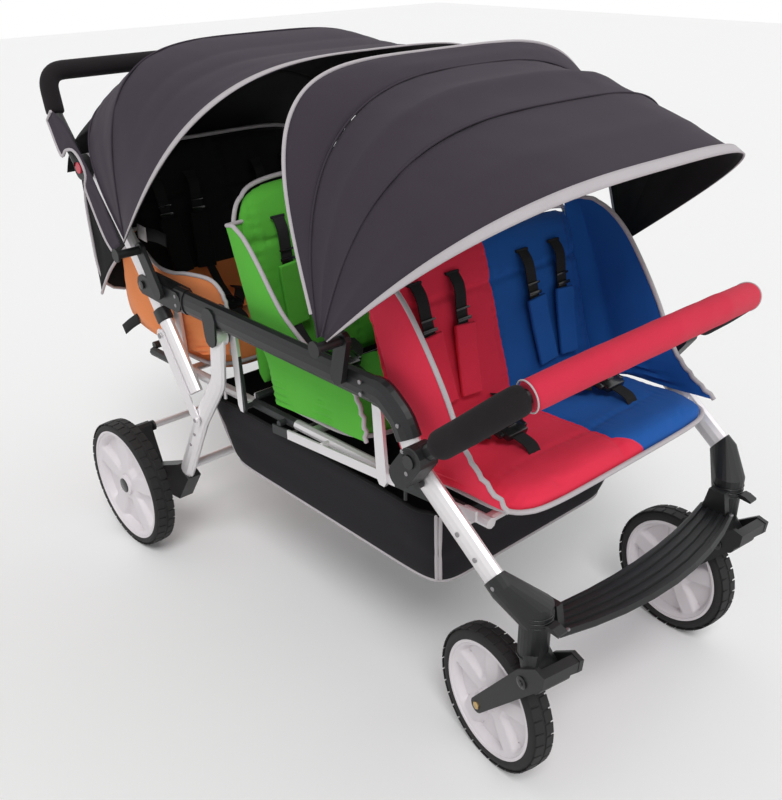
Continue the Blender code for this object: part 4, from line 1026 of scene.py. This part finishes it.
# back panel and basket
def buildPanel():
    corner = (0.1, 0.04)
    half, tall, lean = 0.284, 0.129, 0.05
    centreY, centreZ = 0.652, 0.655

    def place(side, u, v):
        a = sin(pi * (u - 0.5))
        b = sin(pi * (v - 0.5))
        fade = (max(0.0, 1 - abs(a) ** 8) * max(0.0, 1 - abs(b) ** 6)) ** 0.5
        x, z = cornered(a, b, corner)
        depth = (0.025 if side > 0 else 0.004) * fade
        depth -= 0.005 * ripple(a * 3, b * 2, 4) * fade if side > 0 else 0
        depth += 0.002 * ripple(a * 9, b * 5, 1) * fade if side > 0 else 0
        return at(half * x, centreY + lean * tall * z + depth * side, centreZ + tall * z)
    panel = ready("rearPocket", twoSided(place, 60, 30), "blackCloth", "back_rear")
    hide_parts("back_panel")
    smoothOver(panel)
    line = []
    for step in range(80):
        x, z = squareEdge(2 * pi * step / 80, corner)
        line.append(at((half + 0.001) * x, centreY + lean * tall * z, centreZ + (tall + 0.0005) * z))
    pipe("rearPocketPiping", line, edgePiping, "binding", "back_rear", closed=True)
    for name, height in (("Top", 0.235), ("Low", 0.155)):
        start = onBack(seats["rear"], 0, height, -0.018)
        end = at(0, 0.65, start.z)
        tie = (start.lerp(end, 0.5), (0.2, (end - start).length + 0.004, 0.03), None, 0.004)
        boxPiece("rearPocketTie" + name, [tie], "blackCloth", "back_rear")


rearLow = [(0.655, 0.53), (0.63, 0.56), (0.6, 0.592), (0.565, 0.622), (0.53, 0.65), (0.49, 0.676),
           (0.455, 0.69)]
rearHigh = [(0.662, 0.775), (0.65, 0.79), (0.625, 0.8), (0.595, 0.8), (0.565, 0.795), (0.535, 0.785),
            (0.505, 0.77)]


def buildRearSides():
    # black cloth between the pocket panel and the canopy, with a bound lower edge
    lower = sideLine(rearLow, 5)
    upper = sideLine(rearHigh, 5)
    for name, s in hands:
        def place(u, v):
            point = between(lower, upper, u, v)
            crease = 0.002 * ripple(u * 7, v * 5, s * 3)
            return Vector((s * (0.2815 + crease), point.y, point.z))
        side = ready("rearSide" + name, formed(place, len(lower) - 1, 14), "blackCloth", "back_rear")
        thicken(side, clothWall)
        pipe("rearSidePiping" + name, moved(lower, s * 0.2822), edgePiping, "binding", "back_rear")
    label = (at(-0.2615, 0.47, 0.6985), (0.0012, 0.034, 0.03), Matrix.Rotation(0.06, 4, "X"), 0.0004)
    boxPiece("canopyLabel", [label], "white", "frame")
    strap = [at(-0.26, 0.456, 0.699), at(-0.257, 0.42, 0.701), at(-0.256, 0.385, 0.699)]
    thicken(ribbon("canopyStrap", strap, 0.026, "frame"), 0.0015)
    strap = [at(-0.2655, 0.53, 0.502), at(-0.266, 0.568, 0.48), at(-0.2665, 0.606, 0.455)]
    thicken(ribbon("rearStrapEnd", strap, 0.022, "back_rear"), 0.0016)


def buildRearWall():
    # black cloth hung from the rear canopy's last bow to the top of the pocket panel
    bow = hoodLine(rearHood, 131.0, -0.002, 0.2, 0.8)

    def place(u, v):
        top = bow[nearest(bow, u)]
        low = at(top.x * 0.985, 0.686, 0.79)
        bulge = sin(pi * v)
        crease = 0.004 * ripple(u * 9, v * 4, 2.0) * bulge
        return top.lerp(low, v) + Vector((0, 0.024 * bulge + crease, 0.01 * bulge))
    wall = ready("rearCanopyWall", formed(place, len(bow) - 1, 20), "blackCloth", "frame")
    thicken(wall, clothWall)
    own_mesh(wall)


basketFloor, basketTop, basketMiddle = 0.2512, 0.417, -0.04


def basketPoint(share, turn, grow=0.0):
    # share 0 is the floor edge and 1 the rim
    low, high = (0.225, 0.306), (0.262, 0.34)
    half, length = [a + (b - a) * min(1, share * 1.15) ** 0.6 for a, b in zip(low, high)]
    c, s = cos(turn), sin(turn)
    power = 0.16
    x = (half + grow) * copysign(abs(c) ** power, c)
    y = (length + grow) * copysign(abs(s) ** power, s)
    sag = 0.008 * sin(pi * share)
    x -= sag * (x / half) * (1 - abs(y / length) ** 4)
    y -= sag * (y / length) * (1 - abs(x / half) ** 4)
    dip = 0.004 * share * cos(turn * 10)
    return at(x, basketMiddle + y, basketFloor + (basketTop - basketFloor) * share - (0.004 - dip * 0.5) * share)


def buildBasket():
    def place(u, v):
        turn = 2 * pi * u
        if v < 0.3:
            point = at(0, basketMiddle, basketFloor).lerp(basketPoint(0, turn), v / 0.3)
            return point + Vector((0, 0, 0.0012 * abs(noise.noise(point * 12))))
        share = (v - 0.3) / 0.7
        point = basketPoint(share, turn)
        crease = ripple(point.x * 7, point.y * 7, share * 3)
        fine = ripple(point.x * 22, point.y * 22, share * 5)
        inward = Vector((-point.x, -point.y - 0.054, 0)).normalized()
        return point + inward * (0.004 * crease + 0.0016 * fine) * sin(pi * share)
    bag = ready("basketCloth", formed(place, 160, 30), "basket", "frame")
    thicken(bag, 0.0022, 1.0)
    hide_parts("basket")
    for name, share, radius, material in (("basketBasePiping", 0.02, 0.0038, "binding"),
                                          ("basketRim", 0.995, 0.0032, "blackCloth")):
        loop = [basketPoint(share, 2 * pi * step / 160, 0.0012) for step in range(160)]
        pipe(name, loop, radius, material, "frame", closed=True)
    for name, turn in (("NearFront", 226), ("FarFront", 314), ("NearRear", 134), ("FarRear", 46)):
        for number, shift in enumerate((-3.0, 3.0)):
            line = [basketPoint(step / 16, radians(turn + shift), 0.0014) for step in range(17)]
            pipe("basketCorner%s%d" % (name, number), line, 0.0034, "binding", "frame")


buildPanel()
buildRearSides()
buildRearWall()
buildBasket()
say("panel and basket")


# wheels
def spun(mesh, points, steps, closed=True):
    # turns a half profile and its mirror image about the axle
    profile = points + [(-x, radius) for x, radius in reversed(points) if x]
    verts = [mesh.verts.new((x, 0, radius)) for x, radius in profile]
    following = verts[1:] + (verts[:1] if closed else [])
    edges = [mesh.edges.new(ends) for ends in zip(verts, following)]
    bmesh.ops.spin(mesh, geom=verts + edges, cent=(0, 0, 0), axis=(1, 0, 0), angle=2 * pi, steps=steps,
                   use_merge=True, use_duplicate=False)


def buildTyre(name, look):
    half, rim, tyre, count = look["half"], look["rim"], look["tyre"], look["blocks"]
    mesh = bmesh.new()
    base = tyre - 0.0012
    spun(mesh, [(-half + 0.002, rim + 0.0005), (-half, rim + 0.006), (-half + 0.001, rim + 0.0095),
                (-half + 0.0035, base - 0.0045), (-half + 0.008, base - 0.0008), (-half * 0.3, base), (0, base)], 84)
    block = Matrix.Diagonal((half * 0.8, 2 * pi * tyre / count * 0.88, 0.0026, 1))
    for number in range(count):
        for side in (-1, 1):
            angle = 2 * pi * (number + (0.5 if side > 0 else 0)) / count
            place = Matrix.Translation((side * half * 0.5, 0, tyre - 0.0015))
            turn = Matrix.Rotation(angle, 4, "X") @ place @ Matrix.Rotation(side * 0.08, 4, "Y")
            bevelEdges(mesh, bmesh.ops.create_cube(mesh, size=1, matrix=turn @ block), 0.0011, 1)
    mesh.transform(look["turned"])
    rubber = ready(name + "Tyre", mesh, "tyre", look["body"])
    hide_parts(look["tyreNode"])


def buildRim(name, look):
    # a closed dish with five scooped recesses, a barrel and a hub
    half, rim, core, out = look["half"], look["rim"], look["hub"], look["hubOut"]

    def place(side, u, v):
        angle = 2 * pi * u
        reach = core + (rim - 0.0062 - core) * v
        sector = (angle * 5 / (2 * pi)) % 1.0
        across = abs(sector - 0.5) * 2
        hollow = rise((0.8 - 0.34 * (1 - v) - across) / 0.26)
        radial = rise((v - 0.12) / 0.2) * rise((0.945 - v) / 0.07)
        plain = half - 0.0042 - 0.0042 * rise((1 - v) / 0.1) - 0.0012 * (1 - v)
        depth = plain - look["dish"] * hollow * radial * (0.72 + 0.28 * v)
        return Vector((side * depth, reach * sin(angle), reach * cos(angle)))
    mesh = twoSided(place, 200, 34, (-1, 1))
    spun(mesh, [(-half + 0.0045, rim - 0.0062), (-half + 0.002, rim - 0.005), (-half + 0.0014, rim - 0.0025),
                (-half + 0.002, rim)], 200, closed=False)
    spun(mesh, [(-out, 0.007), (-out, core - 0.002), (-half + 0.004, core + 0.001)], 40)
    mesh.transform(look["turned"])
    disc = ready(name + "Rim", mesh, "rim", look["body"])
    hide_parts(look["rimNode"])
    side = look["cap"]
    if side:
        mesh = bmesh.new()
        addDisc(mesh, (side * (out - 0.0005), 0, 0), (side, 0, 0), 0.0165, 0.003, 32)
        mesh.transform(look["turned"])
        ready(name + "Cap", mesh, "gloss", look["body"])


wheels = {
    "front": {"half": 0.02, "rim": 0.104, "tyre": 0.125, "blocks": 34, "hub": 0.02, "hubOut": 0.0283,
              "dish": 0.0125},
    "rear": {"half": 0.0225, "rim": 0.127, "tyre": 0.145, "blocks": 38, "hub": 0.022, "hubOut": 0.0205,
             "dish": 0.0145},
}
sides = (("left", 1, -5.3), ("right", -1, -9.4))


def casterAxes(s, degrees):
    # the caster's foot, its way ahead and its axle's way
    turn = radians(degrees)
    ahead = Vector((sin(turn), -cos(turn), 0))
    return at(s * 0.262, -0.58, 0), ahead, Vector((cos(turn), sin(turn), 0))


def buildWheels():
    for side, s, degrees in sides:
        foot, ahead, _ = casterAxes(s, degrees)
        for end, centre, turn, cap in (
                ("front", foot + Vector((0, 0, 0.125)) - ahead * 0.082, radians(degrees), 0),
                ("rear", at(s * 0.355, 0.498, 0.145), 0.0, s)):
            look = dict(wheels[end], cap=cap, body="%s_wheel_%s" % (end, side), tyreNode="%s_tyre_%s" % (end, side),
                        rimNode="%s_rim_%s" % (end, side))
            look["turned"] = Matrix.Translation(centre) @ Matrix.Rotation(turn, 4, "Z")
            buildTyre(end + "Wheel" + side.title(), look)
            buildRim(end + "Wheel" + side.title(), look)


buildWheels()
say("wheels")


# rivets, screws and castings' small details
def studs(name, s, places, axis, radius, height, material, body):
    for number, (x, y, z) in enumerate(places):
        mesh = bmesh.new()
        addDisc(mesh, at(s * x, y, z) - Vector(axis).normalized() * 0.0006, axis, radius, height, 18, 0.6)
        ready("%s%d" % (name, number), mesh, material, body)


def discPiece(name, discs, material, body):
    mesh = bmesh.new()
    for disc in discs:
        addDisc(mesh, *disc)
    ready(name, mesh, material, body)


def ring(name, centre, radius, height, thick, body):
    turns = [step * pi / 20 for step in range(40)]
    line = [centre + Vector((radius * cos(turn), radius * sin(turn), height)) for turn in turns]
    pipe(name, line, thick, "gloss", body, closed=True)


sideStuds = (
    ("railRivet", [(0.3156, 0.27, 0.63), (0.3156, 0.2705, 0.612), (0.3156, -0.2598, 0.631),
                   (0.3156, -0.2612, 0.611)], 0.0036, 0.0026, "plate", "frame"),
    ("bendRivet", [(0.3156, -0.3436, 0.588)], 0.0036, 0.0026, "plate", "frame"),
    ("footRivet", [(0.3118, 0.27, 0.337), (0.3118, 0.29, 0.306)], 0.0034, 0.002, "plate", "rear_legs"),
    ("legRivet", [(0.3118, -0.4659, 0.4545), (0.3118, -0.5018, 0.4275)], 0.004, 0.0028, "plate", "frame"),
    ("socketRivet", [(0.314, -0.54, 0.3985)], 0.0036, 0.002, "plate", "frame"),
    ("bracketScrew", [(0.3503, -0.3905, 0.577), (0.3503, -0.399, 0.544)], 0.0036, 0.0018, "plate", "frame"),
    ("foldBolt", [(0.319, 0.391, 0.623)], 0.0085, 0.0022, "gloss", "frame"),
    ("linkBolt", [(0.3182, 0.348, 0.529)], 0.0055, 0.0018, "plate", "link_plates"),
    ("linkFoot", [(0.3182, 0.25, 0.378)], 0.0045, 0.0016, "plate", "link_plates"),
)


def buildFrontEnd(side, low, s, degrees):
    foot, ahead, axis = casterAxes(s, degrees)
    bolt = foot + ahead * 0.022 + Vector((0, 0, 0.253))
    axle = foot - ahead * 0.082 + Vector((0, 0, 0.125))
    fork = "front_fork_" + low
    for t, letter in ((-1, "A"), (1, "B")):
        nut = (axle + axis * t * 0.0375, axis * t, 0.0072, 0.0032, 6, 0.8)
        discPiece("axleNut" + side + letter, [nut], "brass", fork)
        discPiece("forkBolt" + side + letter, [(bolt + axis * t * 0.0375, axis * t, 0.0105, 0.0035, 22, 0.8),
                                               (bolt + axis * t * 0.0408, axis * t, 0.005, 0.0022, 16, 0.7)],
                  "gloss", fork)
    block = foot + ahead * 0.037 + Vector((0, 0, 0.2545))
    discPiece("forkSleeve" + side, [(block - axis * 0.03, axis, 0.0145, 0.06, 28, 1.0)], "black", fork)
    ring("barrelRing" + side, foot, 0.0245, 0.2775, 0.0012, "caster_" + low)
    for number, z in enumerate((0.34, 0.348, 0.356)):
        ring("socketRing%s%d" % (side, number), foot, 0.0262, z, 0.001, "frame")


def buildSmallParts():
    for low, s, degrees in sides:
        side = low.title()
        for name, places, radius, height, material, body in sideStuds:
            studs(name + side, s, places, (s, 0, 0), radius, height, material, body)
        for number, radius in enumerate((0.0135, 0.016, 0.0185)):
            turns = [radians(20 + 110 * step / 16) for step in range(17)]
            rib = [at(s * 0.3505, -0.405 + radius * cos(turn), 0.566 + radius * sin(turn)) for turn in turns]
            pipe("bracketRib%s%d" % (side, number), rib, 0.0009, "black", "frame")
        buildFrontEnd(side, low, s, degrees)
        studs("restScrew" + side, s, [(0.226, -0.613, 0.319), (0.226, -0.572, 0.319)], (0, 0, 1), 0.0038, 0.0022,
              "plate", "frame")
    for low, s, _ in sides:
        side = low.title()
        discPiece("brakeEnd" + side, [(at(s * 0.268, 0.529, 0.247), (s, 0, 0), 0.0115, 0.011, 20, 0.95)], "black",
                  "brake")
        tube("tubeCollar" + side, spaced([at(s * 0.3, 0.3456, 0.556), at(s * 0.3, 0.3609, 0.5785)], 0.002),
             0.014, "black", "handle_tubes", 32, side=(1, 0, 0), ends=0.001,
             radiusAt=lambda point, turn: 0.0072 * cos(turn) ** 2)


buildSmallParts()
say("small parts")


# nodes kept from the frame get their finishes
def dress(material, *names):
    for name in names:
        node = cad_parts[name]
        node.data.materials.clear()
        node.data.materials.append(finishes[material])


def pair(name):
    return name + "_left", name + "_right"


dress("rail", *pair("rail"))
dress("satin", *pair("front_leg"), *pair("rear_leg"), *pair("handle_tube"), *pair("link_plate"),
      "rear_cross_tube", "brake_bar")
dress("seatFrame", "seat_frame")
dress("black", *pair("front_socket"), *pair("swivel_lock"), *pair("caster_yoke"), *pair("fork"),
      *pair("wheel_bracket"), *pair("front_canopy_clamp"), *pair("rear_canopy_clamp"), *pair("bumper_bracket"),
      "footrest", "handle_bow", "bumper_tube")
dress("gloss", *pair("bumper_button"))
dress("redPlastic", *pair("fold_button"))
say("frame nodes")
